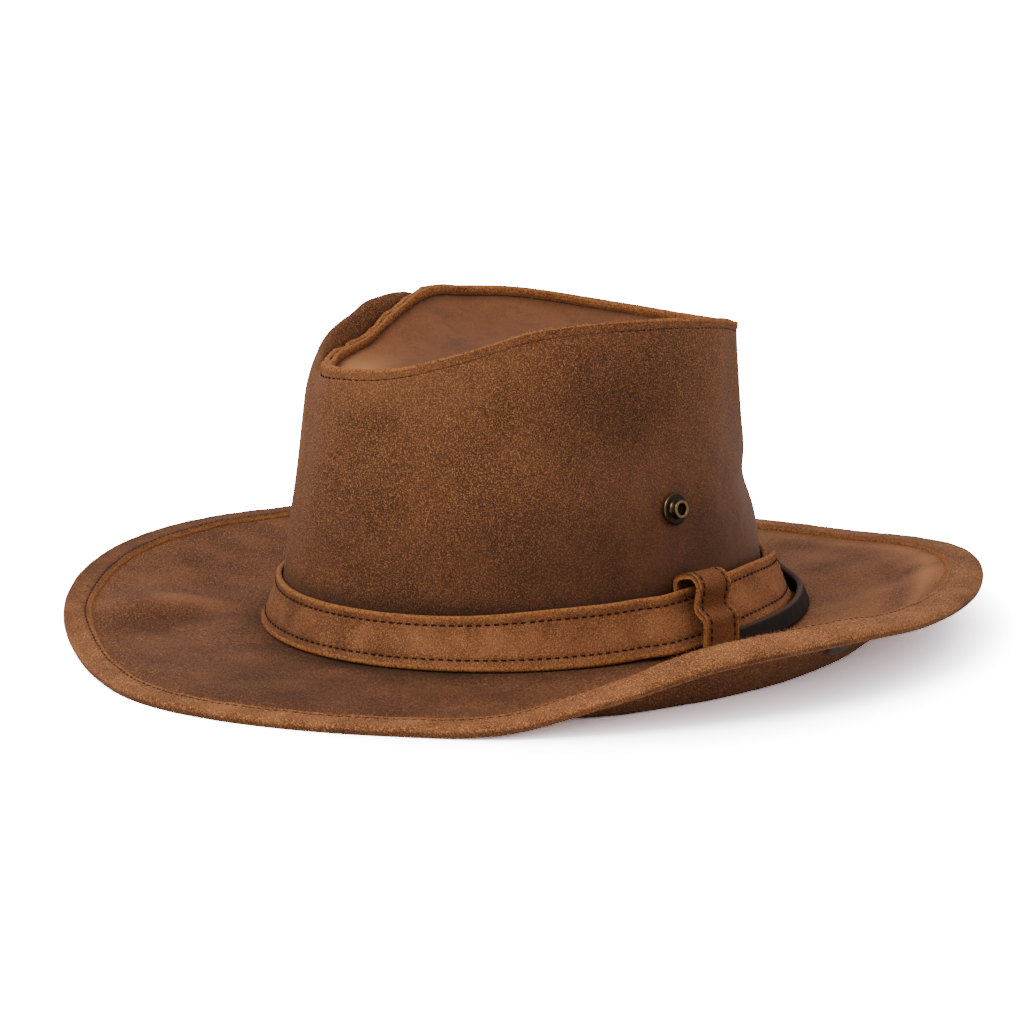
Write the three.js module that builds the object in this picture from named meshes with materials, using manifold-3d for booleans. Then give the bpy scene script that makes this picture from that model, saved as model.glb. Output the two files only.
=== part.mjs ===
// A leather bush hat: a soft crown with a sunk tip, a broad curled brim with a sewn hem,
// a hat band in two keepers, a dark strap round the back and a brass snap on the left.
// Millimetres, +Z up. The hat faces -Y, so the wearer's left is +X and the back is +Y.
import * as THREE from "three";
import { mergeVertices } from "three/addons/utils/BufferGeometryUtils.js";
import Module from "manifold-3d";

const wasm = await Module();
wasm.setup();

// Crown, measured on the outer face of the leather
const headLength = 182; // front to back at the band's upper edge
const headWidth = 157; // left to right there
const footFlare = 5; // how far the wall spreads from there down to its foot
const tipLength = 167; // the crown seam, front to back
const tipWidth = 134; // the crown seam, left to right
const tipShift = 1; // how far the seam's middle lies behind the head's
const crownHeight = 114; // the crown seam's highest stretch above the floor
const seamAllowance = 4; // the upright raw edges above the stitches
const edgeStart = 0.25; // how much of them the wall's last stretch below the stitches makes up
const rollDepth = 8.5; // how far the wall rolls in before the seam at the front right
const rollHeight = 15.5; // how high that roll stands
const dishDepth = 17; // how far the tip sinks below its seam
const crownLeather = 1.8;
const tipLeather = 1.6;

// Brim
const brimLength = 334;
const brimWidth = 322;
const brimShift = 1; // how far the brim's middle lies behind the head's
const brimLeather = 2;
const restingWidth = 14; // the flat ring round the crown's foot that meets the floor
const brimLap = 3; // how far the brim reaches in under the crown's foot
const hemWidth = 13;
const hemLeather = 1.2;

// Band, keepers and strap
const bandHeight = 16.5;
const bandLeather = 2.2;
const bandFlare = 1; // how much more the band's lower edge spreads than the crown
const keeperWidth = 11.5;
const keeperLeather = 2;
const keeperRise = 7; // how far the loop stands above the band
const keeperReach = 5.5; // how far its top stands out from the band
const keeperTuck = 9; // how far its inner leg reaches down behind the band
const strapHeight = 9;
const strapThickness = 2.3;

// Snap, one half on the crown and its mate on the brim
const flangeDiameter = 11;
const flangeThickness = 1;
const ringDiameter = 6.4;
const ringBore = 4;
const ringHeight = 2.6;
const capDiameter = 12.5;
const capHeight = 1.4;
const snapLevel = 50; // its centre above the floor
const socketPlace = 0.74; // its mate's place across the brim
const shankDiameter = 3.2;
const shankClearance = 0.3; // between a shank and the hole punched for it

// Small gaps between neighbouring pieces
const layGap = 0.3;
const slant = 1.2; // leather that leans takes up this much more room than its thickness
const snapSeat = 0.75; // between a flat snap piece and the curved leather that it sits on

// Crown seam, a row for each place round the tip: 0 is left, 90 back, 180 right, 270 front.
// height is a share of crownHeight, roll is how far the wall rolls in before the seam.
const seamRows = [
  { at: 0, height: 1, roll: 0 },
  { at: 30, height: 0.96, roll: 0 },
  { at: 60, height: 0.902, roll: 0 },
  { at: 90, height: 0.883, roll: 0 },
  { at: 120, height: 0.905, roll: 0 },
  { at: 150, height: 0.955, roll: 0 },
  { at: 165, height: 0.965, roll: 0.2 },
  { at: 180, height: 0.945, roll: 0.9 },
  { at: 195, height: 0.905, roll: 0.98 },
  { at: 210, height: 0.86, roll: 1 },
  { at: 240, height: 0.845, roll: 0.75 },
  { at: 265, height: 0.855, roll: 0.15 },
  { at: 290, height: 0.875, roll: 0 },
  { at: 310, height: 0.93, roll: 0 },
  { at: 330, height: 0.995, roll: 0 },
];

// Brim, a row for each place round it. lift is the rim's height as a share of the brim's breadth,
// start is where the curl begins across it, and reach makes the brim broader or narrower there.
const brimRows = [
  { at: 0, lift: 0.24, start: 0.45, reach: 1 },
  { at: 30, lift: 0.215, start: 0.4, reach: 0.975 },
  { at: 60, lift: 0.185, start: 0.25, reach: 1 },
  { at: 90, lift: 0.05, start: 0.2, reach: 1 },
  { at: 120, lift: 0.02, start: 0.2, reach: 1 },
  { at: 150, lift: 0.08, start: 0.2, reach: 1 },
  { at: 180, lift: 0.115, start: 0.25, reach: 1 },
  { at: 210, lift: 0.155, start: 0.25, reach: 1.03 },
  { at: 238, lift: 0.09, start: 0.3, reach: 0.985 },
  { at: 262, lift: 0, start: 0.3, reach: 1.12 },
  { at: 305, lift: 0.02, start: 0.4, reach: 1 },
  { at: 330, lift: 0.135, start: 0.5, reach: 1 },
];

// Radial folds of the brim: height as a share of the brim's breadth, breadth in degrees
const brimFolds = [
  { at: 231, height: 0.035, breadth: 9 },
  { at: 243, height: -0.012, breadth: 9 },
  { at: 285, height: 0.02, breadth: 22 },
  { at: 44, height: 0.03, breadth: 9 },
];

// Dents of the crown's wall: level as a share of crownHeight, depth of headWidth
const wallDents = [
  { at: 42, level: 0.68, depth: 0.036, breadth: 18, reach: 0.28 },
  { at: 52, level: 0.42, depth: 0.018, breadth: 18, reach: 0.07 },
  { at: 338, level: 0.68, depth: 0.016, breadth: 26, reach: 0.16 },
  { at: 250, level: 0.62, depth: 0.018, breadth: 12, reach: 0.2 },
  { at: 150, level: 0.6, depth: 0.02, breadth: 24, reach: 0.2 },
];

// The strap's way round the back: off is its distance from the band as a share of headWidth
const strapRows = [
  { at: 2, off: 0 },
  { at: 11, off: 0 },
  { at: 21, off: 0.002 },
  { at: 32, off: 0.021 },
  { at: 46, off: 0.027 },
  { at: 62, off: 0.026 },
  { at: 90, off: 0.01 },
  { at: 120, off: 0.015 },
  { at: 150, off: 0.025 },
  { at: 169, off: 0 },
  { at: 178, off: 0 },
];

const keeperPlaces = { keeper_left: 4, keeper_right: 176 };
const bandEnds = { under: 22, over: 411 }; // the inner end and the outer end that laps over it
const lapRise = { start: 30, end: 10 }; // where the band climbs, in degrees before the lap
const keeperRamp = { start: 8, end: 16 }; // the same beside each keeper, in degrees from its middle
const tabRamp = 15; // degrees beyond the outer end in which the strap falls back to the band
const snapPlace = 2;
const matePlace = 6; // the brim half stands a little further back

// How finely the leather is divided
const crownSteps = 56;
const brimSteps = 64;
const bandSteps = 78;
const strapSteps = 36;
const tipRows = 8;
const brimRowCount = 11;
const wallRows = 8;
const arcRows = 4;
const edgeRows = 1;
const snapSteps = 16;

const turn = Math.PI / 180;
const brimTop = brimLeather;
const footLevel = brimTop + layGap;
const bandFoot = footLevel;
const bandTop = bandFoot + bandHeight;
const crownAxis = new THREE.Vector3(0, 0, 1);

const lerp = THREE.MathUtils.lerp;
const clamp = THREE.MathUtils.clamp;
const smooth = (x, low, high) => THREE.MathUtils.smoothstep(x, low, high);

// Degrees between two places round the hat, from -180 to 180
function apart(a, b) {
  return THREE.MathUtils.euclideanModulo(a - b + 180, 360) - 180;
}

// Reads a column of a table at any place, with an even curve through its rows.
function column(rows, name, at, closed = true) {
  const n = rows.length;
  const whole = closed ? THREE.MathUtils.euclideanModulo(at, 360) : at;
  let i = rows.findIndex((row) => row.at > whole) - 1;
  if (i < 0) i = whole < rows[0].at ? -1 : n - 1;
  const row = (k) => {
    if (!closed) return rows[clamp(k, 0, n - 1)];
    return rows[THREE.MathUtils.euclideanModulo(k, n)];
  };
  const place = (k) => row(k).at + (closed ? 360 * Math.floor(k / n) : 0);
  const low = closed ? i : clamp(i, 0, n - 2);
  const span = place(low + 1) - place(low);
  const x = clamp((whole - place(low)) / span, 0, 1);
  const slope = (k) => {
    const run = place(k + 1) - place(k - 1);
    return run ? ((row(k + 1)[name] - row(k - 1)[name]) / run) * span : 0;
  };
  const a = row(low)[name];
  const b = row(low + 1)[name];
  const x2 = x * x;
  const x3 = x2 * x;
  return (
    a * (2 * x3 - 3 * x2 + 1) +
    slope(low) * (x3 - 2 * x2 + x) +
    b * (3 * x2 - 2 * x3) +
    slope(low + 1) * (x3 - x2)
  );
}

// A point on an ellipse round the head at a place in degrees
function oval(at, halfWidth, halfLength, middle, z) {
  const a = at * turn;
  return new THREE.Vector3(halfWidth * Math.cos(a), halfLength * Math.sin(a) + middle, z);
}

const seamTop = (at) => crownHeight * column(seamRows, "height", at);
const rollAt = (at) => clamp(column(seamRows, "roll", at), 0, 1);

// How far dents push the wall in at a place and a height
function dentAt(at, z) {
  let depth = 0;
  for (const dent of wallDents) {
    const across = apart(at, dent.at) / dent.breadth;
    const up = (z / crownHeight - dent.level) / dent.reach;
    depth += dent.depth * headWidth * Math.exp(-across * across - up * up);
  }
  return depth;
}

// How far the wall spreads below the band's upper edge
function flareAt(z) {
  return footFlare * clamp((bandTop - z) / bandHeight, 0, 1) ** 1.5;
}

// The wall's outer face at a place and a height, below the roll
function wallPoint(at, z) {
  const above = clamp((z - bandTop) / (seamTop(at) - bandTop), 0, 1.1);
  const flare = flareAt(z) - dentAt(at, z);
  return oval(
    at,
    lerp(headWidth, tipWidth, above) / 2 + flare,
    lerp(headLength, tipLength, above) / 2 + flare,
    tipShift * above,
    z,
  );
}

// Moves a point towards the crown's middle line by a distance.
function inward(point, distance) {
  const flat = new THREE.Vector3(point.x, point.y - tipShift, 0);
  return point.clone().addScaledVector(flat.normalize(), -distance);
}

// The whole wall: v runs from the foot over the roll to the raw edge. Where the roll is full, the
// wall turns over inward and down again to the seam, and the raw edge stands up behind it.
const crownRows = wallRows + arcRows + edgeRows;
const wallShare = wallRows / crownRows;
const arcShare = arcRows / crownRows;
const fullTurn = 0.9 * Math.PI;
function crownPoint(at, v) {
  const turned = fullTurn * rollAt(at);
  const end = seamTop(at);
  const shoulder = end - seamAllowance - rollHeight * Math.sin(turned);
  if (v <= wallShare) return wallPoint(at, lerp(footLevel, shoulder, v / wallShare));
  const x = clamp((v - wallShare) / arcShare, 0, 1);
  const y = clamp((v - wallShare - arcShare) / (1 - wallShare - arcShare), 0, 1);
  const bend = turned * x;
  const z = shoulder + rollHeight * Math.sin(bend) + seamAllowance * lerp(edgeStart * x, 1, y);
  const deep = (rollDepth * (1 - Math.cos(bend))) / (1 - Math.cos(fullTurn));
  return inward(wallPoint(at, Math.min(z, end)), deep).setZ(z);
}

// Normal of a surface given by a function of two numbers, which halves the angle of a fold
function normalOf(surface, u, v) {
  const point = surface(u, v);
  const across = surface(u + 0.5, v).sub(surface(u - 0.5, v));
  const normal = new THREE.Vector3();
  for (const step of [-0.01, 0.01]) {
    if (v + step < -0.001 || v + step > 1.001) continue;
    const along = surface(u, v + step).sub(point).multiplyScalar(Math.sign(step));
    normal.add(across.clone().cross(along).normalize());
  }
  return normal.normalize();
}

// Turns a grid of outer and inner points into one closed body with its faces outward.
function closedBody(outer, inner, ring) {
  const rows = outer.length;
  const places = outer[0].length;
  const steps = ring ? places : places - 1;
  const index = [];
  const position = [];
  const put = (point) => position.push(point.x, point.y, point.z);
  outer.flat().forEach(put);
  inner.flat().forEach(put);
  const out = (r, p) => r * places + (p % places);
  const into = (r, p) => rows * places + r * places + (p % places);
  const quad = (a, b, c, d) => index.push(a, b, c, a, c, d);
  for (let r = 0; r < rows - 1; r += 1) {
    for (let p = 0; p < steps; p += 1) {
      quad(out(r, p), out(r, p + 1), out(r + 1, p + 1), out(r + 1, p));
      quad(into(r, p + 1), into(r, p), into(r + 1, p), into(r + 1, p + 1));
    }
  }
  for (let p = 0; p < steps; p += 1) {
    quad(into(0, p), into(0, p + 1), out(0, p + 1), out(0, p));
    quad(out(rows - 1, p), out(rows - 1, p + 1), into(rows - 1, p + 1), into(rows - 1, p));
  }
  if (!ring) {
    for (let r = 0; r < rows - 1; r += 1) {
      quad(into(r, 0), out(r, 0), out(r + 1, 0), into(r + 1, 0));
      quad(out(r, steps), into(r, steps), into(r + 1, steps), out(r + 1, steps));
    }
  }
  return faceOutward(position, index);
}

// Six times the volume inside a triangle mesh, which is negative when it is inside out
function signedVolume(position, index) {
  const corner = (k) => new THREE.Vector3().fromArray(position, index[k] * 3);
  let sum = 0;
  for (let k = 0; k < index.length; k += 3) {
    sum += corner(k).dot(corner(k + 1).cross(corner(k + 2)));
  }
  return sum;
}

function faceOutward(position, index) {
  if (signedVolume(position, index) < 0) index.reverse();
  const geometry = new THREE.BufferGeometry();
  geometry.setAttribute("position", new THREE.Float32BufferAttribute(position, 3));
  geometry.setIndex(index);
  geometry.computeVertexNormals();
  return geometry;
}

// A leather wall: surface(u, v) is its outer face and the leather lies behind it.
function leather(surface, form) {
  const { from = 0, to = 360, places, rows, thickness, ring = true, side = 1, lowest = 0 } = form;
  const outer = [];
  const inner = [];
  for (let r = 0; r <= rows; r += 1) {
    const v = r / rows;
    const outerRow = [];
    const innerRow = [];
    for (let p = 0; p < places + (ring ? 0 : 1); p += 1) {
      const u = from + ((to - from) * p) / places;
      const point = surface(u, v);
      const normal = normalOf(surface, u, v);
      const behind = point.clone().addScaledVector(normal, -thickness * side);
      outerRow.push(point);
      innerRow.push(behind.setZ(Math.max(behind.z, lowest)));
    }
    outer.push(outerRow);
    inner.push(innerRow);
  }
  return closedBody(outer, inner, ring);
}

function crownSide() {
  const form = { places: crownSteps, rows: crownRows, thickness: crownLeather, lowest: footLevel };
  return leather(crownPoint, form);
}

// The tip's lower face: v runs from the raw edge down inside the seam and across the dish.
const dishMiddle = { x: 2, y: -12 };
const dishLevel = crownHeight * 0.93 - dishDepth;
const dishSlope = 2.2; // above 1 it is steep by the seam and flat in the middle
const upstand = 0.16; // the share of v that the raw edge takes
function tipPoint(at, v) {
  const rim = crownPoint(at, 1);
  const edge = inward(rim, crownLeather + layGap);
  edge.z = rim.z;
  if (v <= upstand) {
    edge.z -= (seamAllowance * v) / upstand;
    return edge;
  }
  const x = (v - upstand) / (1 - upstand);
  const foot = edge.z - seamAllowance;
  const z = lerp(foot, dishLevel, 1 - (1 - x) ** dishSlope);
  return new THREE.Vector3(lerp(edge.x, dishMiddle.x, x), lerp(edge.y, dishMiddle.y, x), z);
}

// The tip closes at its middle, so its last row is one point above and one below.
function crownTip() {
  const places = crownSteps;
  const rows = tipRows;
  const position = [];
  const index = [];
  const add = (point) => position.push(point.x, point.y, point.z) / 3 - 1;
  const lower = [];
  const upper = [];
  for (let r = 0; r < rows; r += 1) {
    const v = r / rows;
    lower.push([]);
    upper.push([]);
    for (let p = 0; p < places; p += 1) {
      const u = (360 * p) / places;
      const point = tipPoint(u, v);
      const normal = normalOf(tipPoint, u, v);
      lower[r].push(add(point));
      upper[r].push(add(point.clone().addScaledVector(normal, tipLeather)));
    }
  }
  const pole = tipPoint(0, 1);
  const lowPole = add(pole);
  const topPole = add(pole.clone().addScaledVector(crownAxis, tipLeather));
  const quad = (a, b, c, d) => index.push(a, b, c, a, c, d);
  for (let p = 0; p < places; p += 1) {
    const q = (p + 1) % places;
    for (let r = 0; r < rows - 1; r += 1) {
      quad(lower[r][p], lower[r][q], lower[r + 1][q], lower[r + 1][p]);
      quad(upper[r][q], upper[r][p], upper[r + 1][p], upper[r + 1][q]);
    }
    quad(upper[0][p], upper[0][q], lower[0][q], lower[0][p]);
    index.push(lower[rows - 1][p], lower[rows - 1][q], lowPole);
    index.push(upper[rows - 1][q], upper[rows - 1][p], topPole);
  }
  return faceOutward(position, index);
}

// The brim's under face: v runs from the inner edge to the rim.
const footWidth = headWidth / 2 + footFlare;
const footLength = headLength / 2 + footFlare;
const brimBreadth = (brimWidth + brimLength) / 4 - (footWidth + footLength) / 2;
const hemStart = 1 - hemWidth / (brimBreadth + brimLap);
const restingShare = restingWidth / (brimBreadth + brimLap);
const curlEnd = hemStart + 0.06; // the curl flattens out under the hem

function brimUnder(at, v) {
  const spread = lerp(-brimLap, 0, clamp(v / 0.04, 0, 1));
  const across = v * column(brimRows, "reach", at);
  const halfWidth = lerp(footWidth, brimWidth / 2, across) + spread;
  const halfLength = lerp(footLength, brimLength / 2, across) + spread;
  const start = Math.max(column(brimRows, "start", at), restingShare);
  const lift = Math.max(column(brimRows, "lift", at), 0) * brimBreadth;
  let z = lift * smooth(v, start, curlEnd);
  const middle = smooth(v, restingShare, 0.5) * (1 - smooth(v, 0.7, 0.98));
  for (const fold of brimFolds) {
    const off = apart(at, fold.at) / fold.breadth;
    z += fold.height * brimBreadth * Math.exp(-off * off) * middle;
  }
  return oval(at, halfWidth, halfLength, brimShift * v, Math.max(z, 0));
}

function brim() {
  return leather(brimUnder, { places: brimSteps, rows: brimRowCount, thickness: brimLeather });
}

// The hem lies on the brim's upper face, from its inner raw edge to the rim.
function brimUpper(at, v, lift) {
  const normal = normalOf(brimUnder, at, v);
  return brimUnder(at, v).addScaledVector(normal, -brimLeather - lift);
}

function hemUnder(at, v) {
  return brimUpper(at, lerp(hemStart, 1, v), layGap);
}

function brimHem() {
  return leather(hemUnder, { places: brimSteps, rows: 2, thickness: hemLeather });
}

// A point near the crown's foot, by how far it spreads beyond the head's own oval
function standing(at, z, spread) {
  return oval(at, headWidth / 2 + spread, headLength / 2 + spread, 0, z);
}

// How far the band stands off the crown: over its own inner end and each keeper's inner leg
function bandLift(at) {
  const lap = bandEnds.under + 360;
  const layer = bandLeather * slant + layGap;
  const overlap = layer * smooth(at, lap - lapRise.start, lap - lapRise.end);
  let keeper = 0;
  for (const place of Object.values(keeperPlaces)) {
    const beside = 1 - smooth(Math.abs(apart(at, place)), keeperRamp.start, keeperRamp.end);
    keeper = Math.max(keeper, (keeperLeather * slant + 2 * layGap) * beside);
  }
  return layGap + Math.max(overlap, keeper);
}

// How far the band's outermost layer stands off, which falls back beyond its outer end
function outerLift(at) {
  const end = bandEnds.over - 360;
  const lapped = 1 - smooth(at, end, end + tabRamp);
  return lerp(bandLift(at), bandLift(at + 360), lapped);
}

function hatBand() {
  const inner = (at, v) => {
    const z = bandFoot + bandHeight * v;
    return standing(at, z, flareAt(z) + bandLift(at) + bandFlare * (1 - v) ** 1.4);
  };
  const turnRound = { from: bandEnds.under, to: bandEnds.over, places: bandSteps, rows: 3 };
  return leather(inner, { ...turnRound, thickness: bandLeather, ring: false, side: -1 });
}

// How far the band's outer face spreads at its foot, where the strap stands
function skirt(at) {
  return footFlare + outerLift(at) + bandFlare + bandLeather * slant + layGap;
}

// A keeper hooks over the band and the strap. Its section runs up behind the band, over it and
// down in front, on the loop's outer face: each row is a height and a spread beyond the head's oval.
function keeper(place) {
  const half = THREE.MathUtils.radToDeg(keeperWidth / headWidth);
  const tuck = bandTop - keeperTuck;
  const top = bandTop + keeperRise;
  const stand = outerLift(place) + bandLeather * slant + layGap + keeperLeather;
  const overStrap = skirt(place) + strapThickness * slant + 2 * layGap + keeperLeather;
  const strapTop = footLevel + strapHeight + layGap;
  const section = new THREE.CatmullRomCurve3(
    [
      [tuck, flareAt(tuck) + 2 * layGap],
      [bandTop - 1, 2 * layGap],
      [bandTop + keeperRise * 0.65, layGap + keeperReach * 0.15],
      [top, stand + keeperReach * 0.3],
      [bandTop + keeperRise * 0.5, stand + keeperReach],
      [lerp(bandTop, strapTop, 0.5), stand + keeperReach * 0.85],
      [strapTop + 1, lerp(stand + keeperReach, overStrap, 0.8)],
      [lerp(strapTop, bandFoot, 0.4), overStrap],
      [bandFoot, overStrap],
    ].map(([z, spread]) => new THREE.Vector3(spread, 0, z)),
    false,
    "centripetal",
  );
  const inner = (at, v) => {
    const knot = section.getPoint(v);
    return standing(at, Math.max(knot.z, bandFoot), knot.x);
  };
  const form = { places: 3, rows: 16, thickness: keeperLeather, ring: false, side: -1 };
  return leather(inner, { ...form, from: place - half, to: place + half, lowest: bandFoot });
}

// The strap stands on its edge on the brim, from keeper to keeper.
function strap() {
  const inner = (at, v) => {
    const spread = skirt(at) + column(strapRows, "off", at, false) * headWidth;
    const across = (spread + strapThickness - footFlare) / brimBreadth;
    const foot = Math.max(brimUpper(at, across, layGap).z, footLevel);
    return standing(at, foot + strapHeight * v, spread);
  };
  const ends = { from: strapRows[0].at, to: strapRows[strapRows.length - 1].at };
  const form = { places: strapSteps, rows: 1, thickness: strapThickness, ring: false, side: -1 };
  return leather(inner, { ...ends, ...form });
}

// A turned metal piece along +Z from a half outline that starts and ends on the axis
function turned(outline) {
  const points = outline.map(([r, z]) => new THREE.Vector2(r, z));
  const geometry = new THREE.LatheGeometry(points, snapSteps);
  geometry.rotateX(Math.PI / 2);
  return faceOutward(Array.from(geometry.attributes.position.array), Array.from(geometry.index.array));
}

// A snap's flange with its ring standing on it
function ringPiece() {
  const flange = flangeDiameter / 2;
  const ring = ringDiameter / 2;
  const bore = ringBore / 2;
  const top = flangeThickness + ringHeight;
  return turned([
    [0, 0],
    [flange, 0],
    [flange, flangeThickness * 0.6],
    [flange * 0.9, flangeThickness],
    [ring, flangeThickness],
    [ring, top * 0.9],
    [ring * 0.9, top],
    [bore * 1.1, top],
    [bore, top * 0.92],
    [bore, flangeThickness * 1.4],
    [0, flangeThickness * 1.4],
  ]);
}

// A domed cap whose shank, of the given length, goes through the leather
function capPiece(diameter, shankLength) {
  const cap = diameter / 2;
  const shank = shankDiameter / 2;
  return turned([
    [0, shankLength],
    [shank, shankLength],
    [shank, 0],
    [cap, 0],
    [cap * 0.96, -capHeight * 0.4],
    [cap * 0.7, -capHeight * 0.85],
    [0, -capHeight],
  ]);
}

function solidOf(geometry) {
  const bare = geometry.clone();
  bare.deleteAttribute("normal");
  bare.deleteAttribute("uv");
  const merged = mergeVertices(bare, 1e-4);
  return new wasm.Manifold(
    new wasm.Mesh({
      numProp: 3,
      vertProperties: new Float32Array(merged.attributes.position.array),
      triVerts: new Uint32Array(merged.index.array),
    }),
  );
}

// Punches a round hole through leather at a point, along its normal.
function punched(geometry, point, normal) {
  const hole = shankDiameter + 2 * shankClearance;
  const punch = new THREE.CylinderGeometry(hole / 2, hole / 2, 6 * snapSeat + 4 * crownLeather, snapSteps);
  const facing = new THREE.Quaternion().setFromUnitVectors(new THREE.Vector3(0, 1, 0), normal);
  punch.applyQuaternion(facing);
  punch.translate(point.x, point.y, point.z);
  const cut = solidOf(geometry).subtract(solidOf(punch)).getMesh();
  const made = new THREE.BufferGeometry();
  made.setAttribute("position", new THREE.Float32BufferAttribute(cut.vertProperties, 3));
  made.setIndex(Array.from(cut.triVerts));
  made.computeVertexNormals();
  return made;
}

// Where each half of the snap goes through its leather: point is on the face that its ring is on.
const crownSnapShare = (wallShare * (snapLevel - footLevel)) / (seamTop(snapPlace) - seamAllowance - footLevel);
const crownSnap = {
  point: crownPoint(snapPlace, crownSnapShare),
  normal: normalOf(crownPoint, snapPlace, crownSnapShare),
  wall: crownLeather,
};
const brimSnap = {
  point: brimUpper(matePlace, socketPlace, 0),
  normal: normalOf(brimUnder, matePlace, socketPlace).negate(),
  wall: brimLeather,
};

const finishes = {
  crownLeather: { color: 0x6b432c, roughness: 0.8, metalness: 0 },
  tipLeather: { color: 0x7a4d33, roughness: 0.75, metalness: 0 },
  brimLeather: { color: 0x75492f, roughness: 0.8, metalness: 0 },
  hemLeather: { color: 0x8a5a38, roughness: 0.9, metalness: 0 },
  bandLeather: { color: 0x85543a, roughness: 0.8, metalness: 0 },
  keeperLeather: { color: 0x8a5733, roughness: 0.85, metalness: 0 },
  strapLeather: { color: 0x2a2223, roughness: 0.5, metalness: 0 },
  brass: { color: 0x8d7440, roughness: 0.35, metalness: 1 },
  darkSteel: { color: 0x6a6a6c, roughness: 0.35, metalness: 1 },
};

const hat = new THREE.Group();

function add(name, geometry, finish) {
  const mesh = new THREE.Mesh(geometry, new THREE.MeshStandardMaterial(finishes[finish]));
  mesh.name = name;
  hat.add(mesh);
  return mesh;
}

// Sets one half of the snap: its ring piece on the leather and its cap piece behind it.
function addSnap(ringName, capName, place, diameter, capFinish) {
  const facing = new THREE.Quaternion().setFromUnitVectors(crownAxis, place.normal);
  const ring = add(ringName, ringPiece(), "brass");
  ring.position.copy(place.point).addScaledVector(place.normal, snapSeat);
  ring.quaternion.copy(facing);
  const shankLength = place.wall + 2 * snapSeat - layGap;
  const cap = add(capName, capPiece(diameter, shankLength), capFinish);
  cap.position.copy(place.point).addScaledVector(place.normal, -place.wall - snapSeat);
  cap.quaternion.copy(facing);
}

add("crown_side", punched(crownSide(), crownSnap.point, crownSnap.normal), "crownLeather");
add("crown_tip", crownTip(), "tipLeather");
add("brim", punched(brim(), brimSnap.point, brimSnap.normal), "brimLeather");
add("brim_hem", brimHem(), "hemLeather");
add("hat_band", hatBand(), "bandLeather");
for (const [name, place] of Object.entries(keeperPlaces)) {
  add(name, keeper(place), "keeperLeather");
}
add("strap", strap(), "strapLeather");
addSnap("snap_stud", "snap_post", crownSnap, flangeDiameter, "darkSteel");
addSnap("snap_socket", "snap_cap", brimSnap, capDiameter, "darkSteel");

// The origin is the middle of the hat's footprint, on the floor.
const extent = new THREE.Box3().setFromObject(hat, true);
const middle = extent.getCenter(new THREE.Vector3());
hat.position.set(-middle.x, -middle.y, -extent.min.z);

export default hat;
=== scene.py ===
import math
import bpy
import numpy as np
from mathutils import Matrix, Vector


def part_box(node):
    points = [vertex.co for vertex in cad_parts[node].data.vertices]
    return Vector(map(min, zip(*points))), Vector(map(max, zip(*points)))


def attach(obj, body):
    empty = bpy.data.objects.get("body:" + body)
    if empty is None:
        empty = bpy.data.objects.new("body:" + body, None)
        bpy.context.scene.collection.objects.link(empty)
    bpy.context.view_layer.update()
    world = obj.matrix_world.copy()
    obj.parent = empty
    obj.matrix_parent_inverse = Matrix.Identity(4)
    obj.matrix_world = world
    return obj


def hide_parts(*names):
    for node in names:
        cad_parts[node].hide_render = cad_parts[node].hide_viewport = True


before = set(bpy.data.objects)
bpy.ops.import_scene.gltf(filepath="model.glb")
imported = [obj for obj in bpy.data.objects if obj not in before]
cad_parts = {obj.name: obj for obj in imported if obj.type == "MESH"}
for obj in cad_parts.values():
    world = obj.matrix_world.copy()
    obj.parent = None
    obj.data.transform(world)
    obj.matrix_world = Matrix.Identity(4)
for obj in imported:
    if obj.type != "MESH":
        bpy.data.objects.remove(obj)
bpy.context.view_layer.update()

# Bush hat. Shapes are worked out in mm as in the CAD part, then put down in metres.
# Places round the hat are degrees: 0 is the wearer's left, 90 the back, 180 right, 270 front.
mm = 0.001


# small helpers
def smooth(x, low, high):
    t = np.clip((np.asarray(x, float) - low) / (high - low), 0, 1)
    return t * t * (3 - 2 * t)


def mix(a, b, t):
    return a + (b - a) * t


def apart(a, b):
    return (np.asarray(a, float) - b + 180) % 360 - 180


def readColumn(rows, k, at, closed=True):
    # even curve through the rows of a table, read at many places
    at = np.asarray(at, float)
    p = np.array([r[0] for r in rows], float)
    v = np.array([r[k] for r in rows], float)
    if closed:
        p = np.concatenate([p[-2:] - 360, p, p[:2] + 360])
        v = np.concatenate([v[-2:], v, v[:2]])
        at = at % 360
    else:
        p = np.concatenate([p[:1], p, p[-1:]])
        v = np.concatenate([v[:1], v, v[-1:]])
        at = np.clip(at, p[0], p[-1])
    i = np.clip(np.searchsorted(p, at, side="right") - 1, 1, len(p) - 3)
    span = p[i + 1] - p[i]
    x = np.clip((at - p[i]) / span, 0, 1)
    m0 = (v[i + 1] - v[i - 1]) / np.maximum(p[i + 1] - p[i - 1], 1e-9) * span
    m1 = (v[i + 2] - v[i]) / np.maximum(p[i + 2] - p[i], 1e-9) * span
    return (v[i] * (2 * x**3 - 3 * x**2 + 1) + m0 * (x**3 - 2 * x**2 + x)
            + v[i + 1] * (3 * x**2 - 2 * x**3) + m1 * (x**3 - x**2))


def xyz(x, y, z):
    x, y, z = np.broadcast_arrays(x, y, z)
    return np.stack([x, y, z], -1).astype(float)


def oval(at, halfWidth, halfLength, middle, z):
    a = np.radians(at)
    return xyz(halfWidth * np.cos(a), halfLength * np.sin(a) + middle, z)


def ripple(points, wave, seed, count=7):
    # soft uneven swell, about -1 to 1, from a few crossing waves
    rng = np.random.default_rng(seed)
    total = np.zeros(points.shape[:-1])
    for _ in range(count):
        d = rng.normal(size=3)
        d = d / np.linalg.norm(d) * 2 * math.pi / (wave * rng.uniform(0.7, 1.5))
        total += np.sin(points @ d + rng.uniform(0, 6.28))
    return total / math.sqrt(count) * 0.8


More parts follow.
